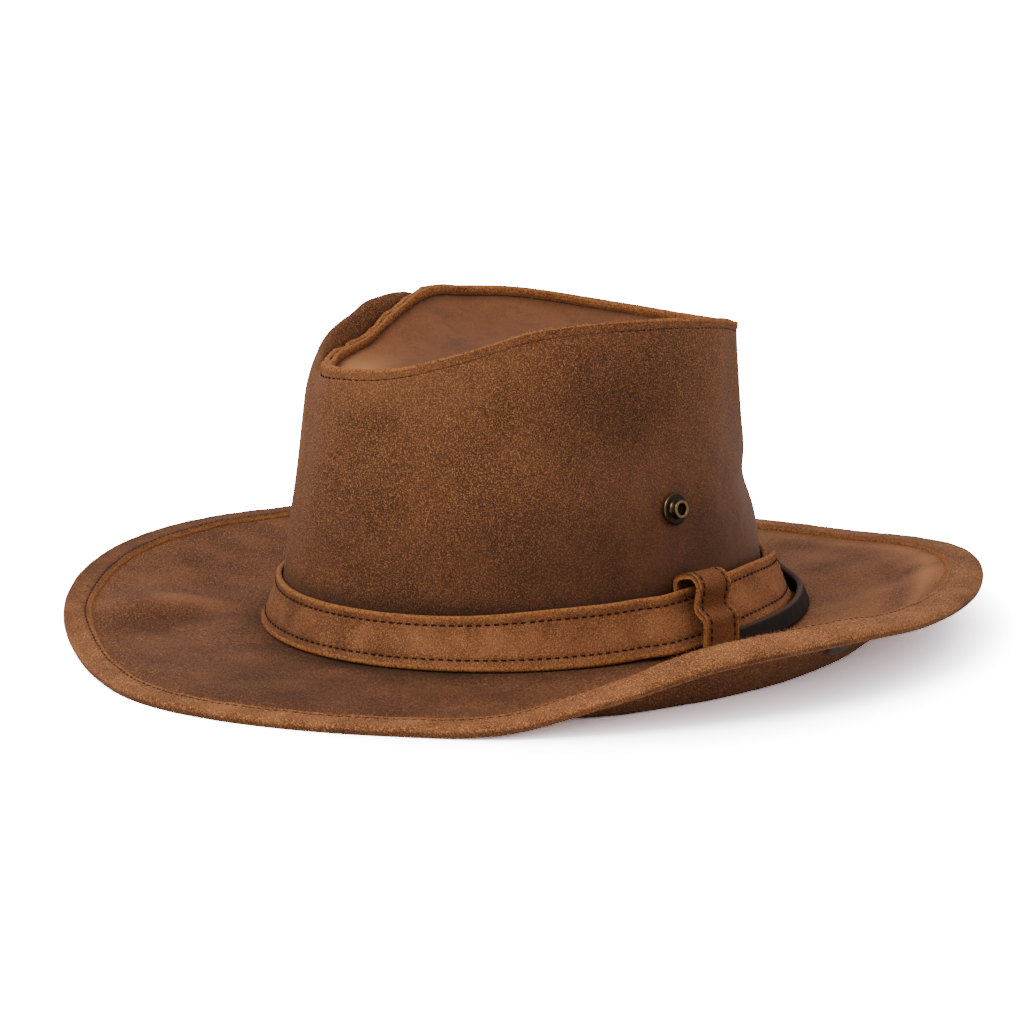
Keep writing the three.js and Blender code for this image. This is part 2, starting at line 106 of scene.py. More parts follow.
def hill(x, middle, width, power=2):
    # 1 at the middle, falling softly to 0 on both sides
    return np.exp(-(np.abs(np.asarray(x, float) - middle) / width) ** power)


def sector(at, middle, width, power=2):
    # the same by place round the hat
    return np.exp(-(np.abs(apart(at, middle)) / width) ** power)


def normals(surface, at, v, turn=0.25, step=0.004):
    # unit normal of a surface given by place and share, halved where it folds
    here = surface(at, v)
    across = surface(at + turn, v) - surface(at - turn, v)
    total = np.zeros_like(here)
    for s in (-step, step):
        w = np.clip(v + s, 0, 1)
        along = (surface(at, w) - here) * np.sign(s)
        n = np.cross(across, along)
        length = np.linalg.norm(n, axis=-1, keepdims=True)
        total += np.where(length > 1e-9, n / np.maximum(length, 1e-9), 0)
    return total / np.maximum(np.linalg.norm(total, axis=-1, keepdims=True), 1e-9)


shift = Vector((0, 0, 0))   # set once the brim is drawn, so that it lies on the CAD brim


def newObject(name, points, edges=(), faces=()):
    # points are in mm, the object in metres
    mesh = bpy.data.meshes.new(name)
    mesh.from_pydata((np.asarray(points, float) * mm + np.array(shift)).tolist(), list(edges), list(faces))
    obj = bpy.data.objects.new(name, mesh)
    bpy.context.scene.collection.objects.link(obj)
    return obj


def makeObject(name, verts, faces, material, node, masks=None):
    obj = newObject(name, verts, faces=faces)
    mesh = obj.data
    mesh.validate()
    mesh.update()
    mesh.materials.append(material)
    mesh.polygons.foreach_set("use_smooth", [True] * len(mesh.polygons))
    for label, values in (masks or {}).items():
        layer = mesh.attributes.new(label, "FLOAT", "POINT")
        layer.data.foreach_set("value", np.asarray(values, np.float32).ravel())
    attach(obj, "root")
    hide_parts(node)
    return obj


def quads(rows, columns, roundRows=False, roundColumns=False, start=0):
    # faces of a grid of points, which may close on itself either way
    return [(start + i * columns + j, start + i * columns + (j + 1) % columns,
             start + (i + 1) % rows * columns + (j + 1) % columns, start + (i + 1) % rows * columns + j)
            for i in range(rows if roundRows else rows - 1)
            for j in range(columns if roundColumns else columns - 1)]


def windOutward(verts, faces):
    v = np.asarray(verts, float)
    total = 0.0
    for n in {len(f) for f in faces}:
        f = np.array([g for g in faces if len(g) == n])
        for k in range(1, n - 1):
            total += np.einsum("ij,ij->", v[f[:, 0]], np.cross(v[f[:, k]], v[f[:, k + 1]]))
    return faces if total > 0 else [tuple(reversed(f)) for f in faces]


def shell(surface, vs, ats, thickness, side=1, ring=True, lowest=None, bulge=0.35, edgeSteps=3,
          lift=None, ends=None):
    # leather wall with a rounded raw edge at both ends of v. Rows run round its section:
    # outer face, far edge, inner face, near edge. ends(at) gives the v range at a place.
    at = np.asarray(ats, float)
    low, high = (np.zeros_like(at), np.ones_like(at)) if ends is None else ends(at)
    outs, nors = [], []
    for v in vs:
        vv = mix(low, high, v)
        p = surface(at, vv)
        n = normals(surface, at, vv)
        if lift is not None:
            p = p + n * lift(at, vv, p)[..., None]
        outs.append(p)
        nors.append(n * side)
    outs, nors = np.array(outs), np.array(nors)

    def edge(i, j):
        # round the edge at row i, with j the row before it
        along = outs[i] - outs[j]
        along = along / np.maximum(np.linalg.norm(along, axis=-1, keepdims=True), 1e-9)
        made = []
        for k in range(1, edgeSteps + 1):
            a = math.pi * k / (edgeSteps + 1)
            made.append(outs[i] - nors[i] * thickness * (1 - math.cos(a)) / 2
                        + along * thickness * bulge * math.sin(a))
        return made

    inner = outs - nors * thickness
    grid = np.array(list(outs) + edge(-1, -2) + list(inner[::-1]) + edge(0, 1)[::-1])
    if lowest is not None:
        grid[..., 2] = np.maximum(grid[..., 2], lowest)
    r, c = grid.shape[:2]
    n, m = len(vs), edgeSteps
    faces = quads(r, c, True, ring)
    if not ring:
        # both ends of an open strip: its two faces joined, and the rounded edges filled
        for j, turned in ((0, True), (c - 1, False)):
            caps = [(i * c + j, (i + 1) * c + j, (2 * n + m - 2 - i) * c + j, (2 * n + m - 1 - i) * c + j)
                    for i in range(n - 1)]
            caps += [tuple((first + k) % r * c + j for k in range(m + 2)) for first in (n - 1, 2 * n + m - 1)]
            faces += [f[::-1] if turned else f for f in caps]

    def spreadRows(values):
        return np.array(values, float)[:, None] + np.zeros((1, c))

    v = spreadRows([*vs, *[1] * m, *vs[::-1], *[0] * m])
    isEdge = spreadRows([0] * n + [1] * m + [0] * n + [1] * m)
    if not ring:
        isEdge[:, [0, -1]] = 1
    info = {"v": v, "edge": isEdge, "inner": spreadRows([0] * (n + m) + [1] * n + [0] * m),
            "at": at + 0 * v, "z": grid[..., 2]}
    verts = grid.reshape(-1, 3)
    return verts, windOutward(verts, faces), info


print("helpers ready")

# crown shape
crown = {
    "headLength": 182, "headWidth": 157, "footFlare": 5,
    "tipLength": 167, "tipWidth": 134, "tipShift": 1,
    "height": 114, "seamAllowance": 4, "edgeStart": 0.25,
    "rollDepth": 8.5, "rollHeight": 15.5, "dishDepth": 17, "dishSlope": 2.2,
    "dishMiddle": (2, -12),
    "wall": 1.8, "tipLeather": 1.6, "swell": 0.35,
    "columns": 288, "sewn": 0.905,
}
seamRows = [  # place, height, roll
    (0, 1, 0), (30, .96, 0), (60, .902, 0), (90, .883, 0), (120, .905, 0), (150, .957, 0),
    (165, .97, .1), (175, .982, .4), (184, .972, .78), (197, .915, .97), (210, .86, 1), (240, .845, .75),
    (265, .855, .15), (290, .875, 0), (310, .93, 0), (330, .995, 0)]
wallDents = [  # place, level, depth, breadth, reach
    (42, .68, .036, 18, .28), (52, .42, .018, 18, .07), (338, .68, .016, 26, .16),
    (250, .62, .018, 12, .2), (150, .6, .02, 24, .2)]
gap = 0.3   # between pieces that touch, mm
slant = 1.2   # leaning leather takes this much more room sideways
footLevel = 2.3   # top of the brim where the crown and band stand
bandHeight = 16.5
bandTop = footLevel + bandHeight
fullTurn = 0.9 * math.pi   # how far the seam turns inward where it rolls fully
wallShare, arcShare = 8 / 13, 4 / 13   # of v, the rest is the raw edge


def seamTop(at):
    return crown["height"] * readColumn(seamRows, 1, at)


def flareAt(z):
    return crown["footFlare"] * np.clip((bandTop - z) / bandHeight, 0, 1) ** 1.5


def wallPoint(at, z):
    above = np.clip((z - bandTop) / (seamTop(at) - bandTop), 0, 1.1)
    flare = flareAt(z)
    for middleAt, level, depth, breadth, reach in wallDents:
        dent = sector(at, middleAt, breadth) * hill(z / crown["height"], level, reach)
        flare = flare - depth * crown["headWidth"] * dent
    return oval(at, mix(crown["headWidth"], crown["tipWidth"], above) / 2 + flare,
                mix(crown["headLength"], crown["tipLength"], above) / 2 + flare,
                crown["tipShift"] * above, z)


def inward(p, distance):
    flat = p - np.array([0, crown["tipShift"], 0])
    flat = flat * np.array([1, 1, 0])
    flat = flat / np.linalg.norm(flat, axis=-1, keepdims=True)
    return p - flat * np.asarray(distance)[..., None]


def crownPoint(at, v):
    at, v = np.broadcast_arrays(np.asarray(at, float), np.asarray(v, float))
    turned = fullTurn * np.clip(readColumn(seamRows, 2, at), 0, 1)
    end = seamTop(at)
    shoulder = end - crown["seamAllowance"] - crown["rollHeight"] * np.sin(turned)
    zLow = mix(footLevel, shoulder, np.clip(v / wallShare, 0, 1))
    x = np.clip((v - wallShare) / arcShare, 0, 1)
    y = np.clip((v - wallShare - arcShare) / (1 - wallShare - arcShare), 0, 1)
    bend = turned * x
    zHigh = (shoulder + crown["rollHeight"] * np.sin(bend)
             + crown["seamAllowance"] * mix(crown["edgeStart"] * x, 1, y))
    deep = crown["rollDepth"] * (1 - np.cos(bend)) / (1 - math.cos(fullTurn))
    z = np.where(v <= wallShare, zLow, zHigh)
    p = inward(wallPoint(at, np.minimum(z, end)), np.where(v <= wallShare, 0, deep))
    p[..., 2] = z
    return p


upstand = 0.16   # share of the tip that stands up inside the seam


def tipPoint(at, v):
    at, v = np.broadcast_arrays(np.asarray(at, float), np.asarray(v, float))
    rim = crownPoint(at, np.ones_like(v))
    edge = inward(rim, np.full(at.shape, crown["wall"] + gap))
    x = np.clip((v - upstand) / (1 - upstand), 0, 1)
    foot = rim[..., 2] - crown["seamAllowance"]
    floor = crown["height"] * 0.93 - crown["dishDepth"]
    z = np.where(v <= upstand, rim[..., 2] - crown["seamAllowance"] * np.minimum(v / upstand, 1),
                 mix(foot, floor, 1 - (1 - x) ** crown["dishSlope"]))
    middleX, middleY = crown["dishMiddle"]
    return xyz(mix(edge[..., 0], middleX, x), mix(edge[..., 1], middleY, x), z)


# brim shape
brim = {
    "length": 334, "width": 322, "shift": 1, "leather": 2,
    "resting": 14, "lap": 3, "hem": 13, "hemLeather": 1.2, "swell": 0.5,
    "columns": 360, "rows": 60,
}
brimRows = [  # place, lift, start, reach
    (0, .268, .56, 1), (15, .235, .5, .985), (30, .213, .42, .975), (60, .18, .25, 1), (90, .05, .2, 1),
    (120, .02, .2, 1), (150, .08, .2, 1), (180, .125, .25, .985), (195, .148, .25, .985),
    (212, .145, .25, .99), (226, .12, .28, .988), (240, .08, .3, 1.0), (252, .04, .3, 1.018),
    (264, .01, .3, 1.06), (272, 0, .3, 1.095), (280, 0, .3, 1.095), (305, 0, .4, 1),
    (318, .02, .6, 1), (330, .13, .7, 1), (343, .245, .62, 1)]
riseRows = [  # place, how far the band's foot and its top edge stand above the CAD line, mm
    (0, 2.0, 4.4), (12, 3.5, 6.2), (24, 4.2, 6.6), (36, 3.4, 5.2), (50, 2.6, 2.6), (75, 0, 0), (110, 0, 0),
    (200, 0, 0), (280, 0, 0), (310, 0, .6), (330, 0, 2.4), (348, .6, 3)]
rollRows = [  # place, how far the brim stands above its rim just inside it, mm
    (0, 2.4), (15, 1.2), (30, .6), (60, .5), (90, .3), (180, .5), (220, .8), (255, .3), (290, 0), (315, .2),
    (330, 1.4), (345, 2.8)]
brimFolds = [  # place, height, breadth, degrees it leans from the crown to the rim
    (231.5, .055, 7, 33), (241, -.026, 8, 24), (285, .02, 22, 0), (44, .03, 9, 0)]
footWidth = crown["headWidth"] / 2 + crown["footFlare"]
footLength = crown["headLength"] / 2 + crown["footFlare"]
breadth = (brim["width"] + brim["length"]) / 4 - (footWidth + footLength) / 2
hemStart = 1 - brim["hem"] / (breadth + brim["lap"])
hemRows = [  # place, how much of the strip is rolled under the rim
    (0, 0), (200, 0), (230, .02), (255, .045), (290, .045), (312, .02), (330, 0)]
restingShare = brim["resting"] / (breadth + brim["lap"])
curlEnd = hemStart + 0.06


def brimUnder(at, v):
    at, v = np.broadcast_arrays(np.asarray(at, float), np.asarray(v, float))
    spread = mix(-brim["lap"], 0, np.clip(v / 0.04, 0, 1))
    across = v * readColumn(brimRows, 3, at)
    halfWidth = mix(footWidth, brim["width"] / 2, across) + spread
    halfLength = mix(footLength, brim["length"] / 2, across) + spread
    start = np.maximum(readColumn(brimRows, 2, at), restingShare)
    lift = np.maximum(readColumn(brimRows, 1, at), 0) * breadth
    t = np.clip((v - start) / (curlEnd - start), 0, 1)
    z = lift * t * t * (3 - 2 * t)
    middle = smooth(v, restingShare, 0.5) * (1 - smooth(v, 0.7, 0.98))
    for middleAt, height, wide, lean in brimFolds:
        z = z + height * breadth * sector(at, middleAt + lean * (v - 0.5), wide) * middle
    p = oval(at, halfWidth, halfLength, brim["shift"] * v, z)
    rolled = readColumn(rollRows, 1, at) * hill(v, 0.84, 0.11)
    p[..., 2] += rolled + ripple(p, 34, 5) * brim["swell"] * smooth(v, restingShare, 0.6) * (1 - 0.75 * v)
    p[..., 2] = np.maximum(p[..., 2], 0)
    return p


def brimUpper(at, v, lift):
    return brimUnder(at, v) - normals(brimUnder, at, v) * (brim["leather"] + lift)


def hemUnder(at, v):
    return brimUpper(at, mix(hemStart + readColumn(hemRows, 1, at), 1, v), gap)


# band, keeper and strap shapes
band = {
    "leather": 2.2, "flare": 1, "under": 22, "over": 411, "tabCorner": 5,
    "columns": 420, "sewn": 0.17, "hidden": 20,
}
keeper = {
    "width": 11.5, "leather": 2, "rise": 7, "reach": 5.5, "tuck": 9,
    "left": 4, "right": 176, "raised": (2.6, 4.2), "sewn": 0.72,
}
strap = {
    "height": 9, "thickness": 2.3, "lean": 2.6, "shown": 0.6,
    "rows": [(2, 0), (11, 0), (21, 0), (32, .004), (46, .006), (62, .01), (90, .008),
             (120, .015), (150, .025), (169, 0), (178, 0)],
}


def standing(at, z, spread):
    return oval(at, crown["headWidth"] / 2 + spread, crown["headLength"] / 2 + spread, 0, z)


def bandLift(at):
    lap = band["under"] + 360
    layer = band["leather"] * slant + gap
    overlap = layer * smooth(at, lap - 30, lap - 10)
    hold = 0
    for at0 in (keeper["left"], keeper["right"]):
        beside = 1 - smooth(np.abs(apart(at, at0)), 8, 16)
        hold = np.maximum(hold, (keeper["leather"] * slant + 2 * gap) * beside)
    return gap + np.maximum(overlap, hold)


def outerLift(at):
    end = band["over"] - 360
    lapped = 1 - smooth(at, end, end + 15)
    return mix(bandLift(at), bandLift(np.asarray(at, float) + 360), lapped)


def bandInner(at, v):
    z = footLevel + bandHeight * v
    raised = mix(readColumn(riseRows, 1, at), readColumn(riseRows, 2, at), v)
    return standing(at, z + raised, flareAt(z) + bandLift(at) + band["flare"] * (1 - v) ** 1.4)


def bandOuter(at, v):
    return bandInner(at, v) + normals(bandInner, at, v) * band["leather"]


def skirt(at):
    return crown["footFlare"] + outerLift(at) + band["flare"] + band["leather"] * slant + gap


def keeperSection(at0):
    # loop's outer face as spread and height, even curve through a few knots
    tuck, top = bandTop - keeper["tuck"], bandTop + keeper["rise"]
    stand = float(outerLift(at0)) + band["leather"] * slant + gap + keeper["leather"]
    over = float(skirt(at0)) + strap["thickness"] * slant + 2 * gap + keeper["leather"]
    strapTop = footLevel + strap["height"] + gap
    reach = keeper["reach"]
    knots = [(flareAt(tuck) + 2 * gap, tuck), (2 * gap, bandTop - 1),
             (gap + reach * .15, bandTop + keeper["rise"] * .65), (stand + reach * .3, top),
             (stand + reach, bandTop + keeper["rise"] * .5),
             (stand + reach * .85, mix(bandTop, strapTop, .5)),
             (mix(stand + reach, over, .8), strapTop + 1),
             (over, mix(strapTop, footLevel, .4)), (over, footLevel)]
    tall = np.array([k[1] - footLevel for k in knots]) / (top - footLevel)
    pts = [np.array([k[0], k[1] + mix(*keeper["raised"], t)], float) for k, t in zip(knots, tall)]
    pts = [2 * pts[0] - pts[1]] + pts + [2 * pts[-1] - pts[-2]]
    made = []
    for i in range(1, len(pts) - 2):
        p0, p1, p2, p3 = pts[i - 1:i + 3]
        t0 = 0
        t1 = t0 + max(np.linalg.norm(p1 - p0), 1e-6) ** .5
        t2 = t1 + max(np.linalg.norm(p2 - p1), 1e-6) ** .5
        t3 = t2 + max(np.linalg.norm(p3 - p2), 1e-6) ** .5
        for t in np.linspace(t1, t2, 13)[:-1]:
            a1 = (t1 - t) / (t1 - t0) * p0 + (t - t0) / (t1 - t0) * p1
            a2 = (t2 - t) / (t2 - t1) * p1 + (t - t1) / (t2 - t1) * p2
            a3 = (t3 - t) / (t3 - t2) * p2 + (t - t2) / (t3 - t2) * p3
            b1 = (t2 - t) / (t2 - t0) * a1 + (t - t0) / (t2 - t0) * a2
            b2 = (t3 - t) / (t3 - t1) * a2 + (t - t1) / (t3 - t1) * a3
            made.append((t2 - t) / (t2 - t1) * b1 + (t - t1) / (t2 - t1) * b2)
    return np.array(made + [pts[-2]])


def strapInner(at, v):
    # the thong's foot stands out from its top edge, and lies low beside the keeper's foot
    lean = strap["lean"] * (1 - v)
    spread = skirt(at) + lean + readColumn(strap["rows"], 1, at, False) * crown["headWidth"]
    across = (spread + strap["thickness"] - crown["footFlare"] - lean * 0.5) / breadth
    foot = np.maximum(brimUpper(at, across, gap)[..., 2], footLevel)
    tall = strap["height"] * mix(strap["shown"], 0.86, smooth(at, 40, 80))
    return standing(at, foot + tall * v, spread)


print("shapes ready")


# shader node groups
def newGroup(name, inputs, outputs):
    tree = bpy.data.node_groups.new(name, "ShaderNodeTree")
    for label, kind, value in inputs:
        s = tree.interface.new_socket(name=label, in_out="INPUT", socket_type="NodeSocket" + kind)
        s.default_value = value
    for label, kind in outputs:
        tree.interface.new_socket(name=label, in_out="OUTPUT", socket_type="NodeSocket" + kind)
    return tree, tree.nodes.new("NodeGroupInput"), tree.nodes.new("NodeGroupOutput")


def addNode(tree, kind, values=None, **settings):
    n = tree.nodes.new(kind)
    for key, value in settings.items():
        setattr(n, key, value)
    for key, value in (values or {}).items():
        if isinstance(value, bpy.types.NodeSocket):
            tree.links.new(value, n.inputs[key])
        else:
            n.inputs[key].default_value = value
    return n


def mixColor(tree, factor, a, b, blend="MIX"):
    n = tree.nodes.new("ShaderNodeMix")
    n.data_type = "RGBA"
    n.blend_type = blend
    for index, value in ((0, factor), (6, a), (7, b)):
        if isinstance(value, bpy.types.NodeSocket):
            tree.links.new(value, n.inputs[index])
        else:
            n.inputs[index].default_value = value
    return n.outputs[2]


def mathNode(tree, operation, a, b=0.0, c=0.0):
    n = tree.nodes.new("ShaderNodeMath")
    n.operation = operation
    for index, value in enumerate((a, b, c)):
        if isinstance(value, bpy.types.NodeSocket):
            tree.links.new(value, n.inputs[index])
        else:
            n.inputs[index].default_value = value
    return n.outputs[0]


def times(tree, a, b):
    return mathNode(tree, "MULTIPLY", a, b)


def plus(tree, a, b):
    return mathNode(tree, "ADD", a, b)


def minus(tree, a, b):
    return mathNode(tree, "SUBTRACT", a, b)


def noiseAt(tree, vector, scale, detail=4, rough=0.55, twist=0.0):
    return addNode(tree, "ShaderNodeTexNoise", {"Vector": vector, "Scale": scale, "Detail": detail,
                   "Roughness": rough, "Distortion": twist}).outputs["Fac"]


def ramp(tree, value, low, high):
    return addNode(tree, "ShaderNodeMapRange", {"Value": value, "From Min": low, "From Max": high},
                   interpolation_type="SMOOTHSTEP").outputs["Result"]


def sRgb(r, g, b):
    def line(c):
        c = c / 255
        return c / 12.92 if c <= 0.04045 else ((c + 0.055) / 1.055) ** 2.4
    return (line(r), line(g), line(b), 1)


# oiled suede: soft blotches, a fine mottle of light and dark flecks, smooth waxy patches,
# and the raw cut edge where the mesh says so
def suedeGroup():
    tree, gin, gout = newGroup("suedeTone", [
        ("Base", "Color", sRgb(110, 66, 42)), ("Deep", "Color", sRgb(70, 40, 26)),
        ("Fleck", "Color", sRgb(176, 112, 66)), ("Raw Color", "Color", sRgb(150, 88, 48)),
        ("Blotch Scale", "Float", 26.0), ("Grain Scale", "Float", 2500.0),
        ("Fleck Amount", "Float", 0.5), ("Wax", "Float", 0.3),
        ("Raw", "Float", 0.0), ("Shade", "Float", 0.0), ("Smooth", "Float", 0.0)],
        [("Color", "Color"), ("Height", "Float"), ("Roughness", "Float"), ("Raw Mask", "Float")])
    i = gin.outputs
    spot = addNode(tree, "ShaderNodeTexCoord").outputs["Object"]
    blotch = noiseAt(tree, spot, i["Blotch Scale"], 5, 0.6, 0.5)
    cloud = noiseAt(tree, spot, times(tree, i["Blotch Scale"], 6.5), 5, 0.7, 0.3)
    grain = noiseAt(tree, spot, i["Grain Scale"], 2, 0.75)
    fine = noiseAt(tree, spot, times(tree, i["Grain Scale"], 1.9), 2, 0.6)
    # smooth waxy patches dull the flecks
    waxSpots = ramp(tree, noiseAt(tree, spot, 17.0, 4, 0.55, 0.8), 0.5, 0.68)
    wax = mathNode(tree, "MAXIMUM", times(tree, waxSpots, i["Wax"]), i["Smooth"])
    dull = minus(tree, 1.0, times(tree, wax, 0.85))
    color = mixColor(tree, times(tree, ramp(tree, blotch, 0.36, 0.66), 0.5), i["Base"], i["Deep"])
    color = mixColor(tree, times(tree, ramp(tree, cloud, 0.44, 0.68), 0.38), color, i["Deep"])
    fleck = times(tree, ramp(tree, grain, 0.46, 0.68), i["Fleck Amount"])
    color = mixColor(tree, times(tree, fleck, dull), color, i["Fleck"])
    dark = times(tree, minus(tree, 1.0, ramp(tree, fine, 0.36, 0.5)), times(tree, i["Fleck Amount"], 0.95))
    color = mixColor(tree, times(tree, dark, dull), color, i["Deep"])
    # painted light and shade from the mesh's shade mask: painted highlights lighter, painted shade darker in
    # folds, grooves, dents and undersides
    lit = mathNode(tree, "MAXIMUM", i["Shade"], 0.0)
    shaded = mathNode(tree, "MAXIMUM", times(tree, i["Shade"], -1.0), 0.0)
    color = mixColor(tree, lit, color, i["Fleck"])
    color = mixColor(tree, shaded, color, mixColor(tree, 1.0, i["Deep"], (0.5, 0.5, 0.5, 1), "MULTIPLY"))
    # raw cut edge with a ragged border
    ragged = noiseAt(tree, spot, 520.0, 4, 0.7)
    rawMask = ramp(tree, plus(tree, i["Raw"], times(tree, ragged, 0.7)), 0.78, 1.0)
    pile = mixColor(tree, ramp(tree, noiseAt(tree, spot, 1500.0, 3, 0.7), 0.36, 0.6),
                    mixColor(tree, 1.0, i["Raw Color"], (0.35, 0.3, 0.28, 1), "MULTIPLY"), i["Raw Color"])
    color = mixColor(tree, rawMask, color, pile)
    height = plus(tree, times(tree, grain, 0.6), times(tree, fine, 0.4))
    height = times(tree, height, minus(tree, 1.0, times(tree, wax, 0.75)))
    rough = minus(tree, 0.86, times(tree, wax, 0.28))
    for name, value in (("Color", color), ("Height", height), ("Roughness", rough), ("Raw Mask", rawMask)):
        tree.links.new(value, gout.inputs[name])
    return tree


# fine creases and pulled streaks of handled leather
def creaseGroup():
    tree, gin, gout = newGroup("creaseLines", [("Scale", "Float", 60.0), ("Amount", "Float", 0.5)],
                               [("Mask", "Float"), ("Height", "Float")])
    spot = addNode(tree, "ShaderNodeTexCoord").outputs["Object"]
    bent = addNode(tree, "ShaderNodeTexNoise", {"Vector": spot, "Scale": 20.0, "Detail": 3.0})
    shove = addNode(tree, "ShaderNodeVectorMath", {0: bent.outputs["Color"], "Scale": 0.03},
                    operation="SCALE")
    moved = addNode(tree, "ShaderNodeVectorMath", {0: spot, 1: shove.outputs[0]}, operation="ADD").outputs[0]
    cells = addNode(tree, "ShaderNodeTexVoronoi", {"Vector": moved, "Scale": gin.outputs["Scale"]},
                    feature="DISTANCE_TO_EDGE").outputs["Distance"]
    line = minus(tree, 1.0, ramp(tree, cells, 0.0, 0.09))
    part = ramp(tree, noiseAt(tree, spot, 24.0, 3), 0.5, 0.62)
    mask = times(tree, times(tree, line, part), gin.outputs["Amount"])
    tree.links.new(mask, gout.inputs["Mask"])
    tree.links.new(times(tree, mask, -1.0), gout.inputs["Height"])
    return tree


suedeTone = suedeGroup()
creaseLines = creaseGroup()
leather = {
    "raw": (180, 116, 66), "blotch": 26.0, "grain": 2500.0, "creases": 0.0, "creaseScale": 95.0,
    "bump": 0.55, "bumpDepth": 0.0006, "specular": 0.18, "sheen": 0.08, "sheenTint": (226, 176, 138),
}
leathers = {
    "crownLeather": {"base": (108, 65, 42), "deep": (50, 28, 18), "fleck": (192, 127, 78),
                     "flecks": 1.0, "wax": .1, "grain": 2200.0},
    "tipLeather": {"base": (124, 76, 48), "deep": (80, 47, 29), "fleck": (192, 127, 80),
                   "flecks": .35, "wax": .5, "creases": .05},
    "brimLeather": {"base": (116, 71, 46), "deep": (56, 32, 20), "fleck": (188, 124, 80),
                    "flecks": 1.0, "wax": .25, "creases": .07, "grain": 1700.0, "blotch": 34.0},
    "hemLeather": {"base": (148, 90, 54), "deep": (66, 36, 21), "fleck": (228, 156, 98),
                   "flecks": .95, "wax": 0, "grain": 2000.0},
    "bandLeather": {"base": (150, 92, 58), "deep": (78, 45, 28), "fleck": (200, 134, 84),
                    "flecks": 1.0, "wax": .1, "creases": .03, "grain": 2000.0, "blotch": 60.0},
    "keeperLeather": {"base": (132, 79, 45), "deep": (78, 43, 25), "fleck": (190, 122, 70),
                      "flecks": .65, "wax": .1},
}


def leatherMaterial(name, own):
    look = {**leather, **own}
    m = bpy.data.materials.new(name)
    m.use_nodes = True
    t = m.node_tree
    shader = t.nodes["Principled BSDF"]
    tone = addNode(t, "ShaderNodeGroup", node_tree=suedeTone)
    for key, value in (("Base", sRgb(*look["base"])), ("Deep", sRgb(*look["deep"])),
                       ("Fleck", sRgb(*look["fleck"])), ("Fleck Amount", look["flecks"]),
                       ("Blotch Scale", look["blotch"]), ("Grain Scale", look["grain"]),
                       ("Raw Color", sRgb(*look["raw"])), ("Wax", look["wax"])):
        tone.inputs[key].default_value = value
    for key, label in (("Raw", "raw"), ("Shade", "shade"), ("Smooth", "waxy")):
        mask = addNode(t, "ShaderNodeAttribute", attribute_name=label)
        t.links.new(mask.outputs["Fac"], tone.inputs[key])
    crease = addNode(t, "ShaderNodeGroup", {"Scale": look["creaseScale"], "Amount": look["creases"]},
                     node_tree=creaseLines)
    color = mixColor(t, crease.outputs["Mask"], tone.outputs["Color"], sRgb(*look["fleck"]))
    t.links.new(color, shader.inputs["Base Color"])
    t.links.new(tone.outputs["Roughness"], shader.inputs["Roughness"])
    height = plus(t, tone.outputs["Height"], times(t, crease.outputs["Height"], 0.6))
    bump = addNode(t, "ShaderNodeBump", {"Height": height, "Strength": look["bump"],
                                         "Distance": look["bumpDepth"]})
    t.links.new(bump.outputs["Normal"], shader.inputs["Normal"])
    shader.inputs["Specular IOR Level"].default_value = look["specular"]
    shader.inputs["Sheen Weight"].default_value = look["sheen"]
    shader.inputs["Sheen Roughness"].default_value = 0.5
    shader.inputs["Sheen Tint"].default_value = sRgb(*look["sheenTint"])
    return m


def plainMaterial(name, color, rough, metal=0.0, sheen=0.0, speckle=0.15, bumpScale=900.0, edgeHighlight=None,
                  shine=0.1):
    # thread, metal, fibres and the strap, whose top edge takes a painted highlight color
    m = bpy.data.materials.new(name)
    m.use_nodes = True
    t = m.node_tree
    shader = t.nodes["Principled BSDF"]
    spot = addNode(t, "ShaderNodeTexCoord").outputs["Object"]
    worn = noiseAt(t, spot, bumpScale, 4)
    dark = tuple(c * 0.45 for c in sRgb(*color)[:3]) + (1,)
    tint = mixColor(t, times(t, ramp(t, worn, 0.4, 0.65), speckle * 2), sRgb(*color), dark)
    # painted highlight along the strap's top edge, where its shade mask is high
    if edgeHighlight:
        mask = addNode(t, "ShaderNodeAttribute", attribute_name="shade").outputs["Fac"]
        tint = mixColor(t, times(t, mask, 0.8), tint, sRgb(*edgeHighlight))
    t.links.new(tint, shader.inputs["Base Color"])
    t.links.new(plus(t, times(t, worn, 0.2), rough - 0.1), shader.inputs["Roughness"])
    bump = addNode(t, "ShaderNodeBump", {"Height": worn, "Strength": 0.2, "Distance": 0.0002})
    t.links.new(bump.outputs["Normal"], shader.inputs["Normal"])
    shader.inputs["Metallic"].default_value = metal
    shader.inputs["Specular IOR Level"].default_value = 0.5 if metal else shine
    shader.inputs["Sheen Weight"].default_value = sheen
    return m


made = {name: leatherMaterial(name, own) for name, own in leathers.items()}
rawEdge = plainMaterial("rawEdge", (184, 114, 62), 0.9, sheen=0.1, speckle=0.3, bumpScale=700.0)
threadBrown = plainMaterial("threadBrown", (62, 33, 18), 0.85)
# painted shadow for the needle holes
holeShadow = plainMaterial("holeShadow", (34, 18, 10), 0.95)
strapBlack = plainMaterial("strapBlack", (30, 20, 15), 0.62, speckle=0.25, bumpScale=260.0,
                           edgeHighlight=(84, 58, 44), shine=0.16)
hairPale = plainMaterial("hairPale", (196, 150, 108), 0.8)
brassOld = plainMaterial("brassOld", (132, 110, 80), 0.34, metal=1.0, speckle=0.3, bumpScale=1400.0)
brassDark = plainMaterial("brassDark", (52, 42, 34), 0.42, metal=0.9, speckle=0.3, bumpScale=1400.0)
steelDark = plainMaterial("steelDark", (120, 120, 124), 0.38, metal=1.0, speckle=0.2)
print("materials ready")

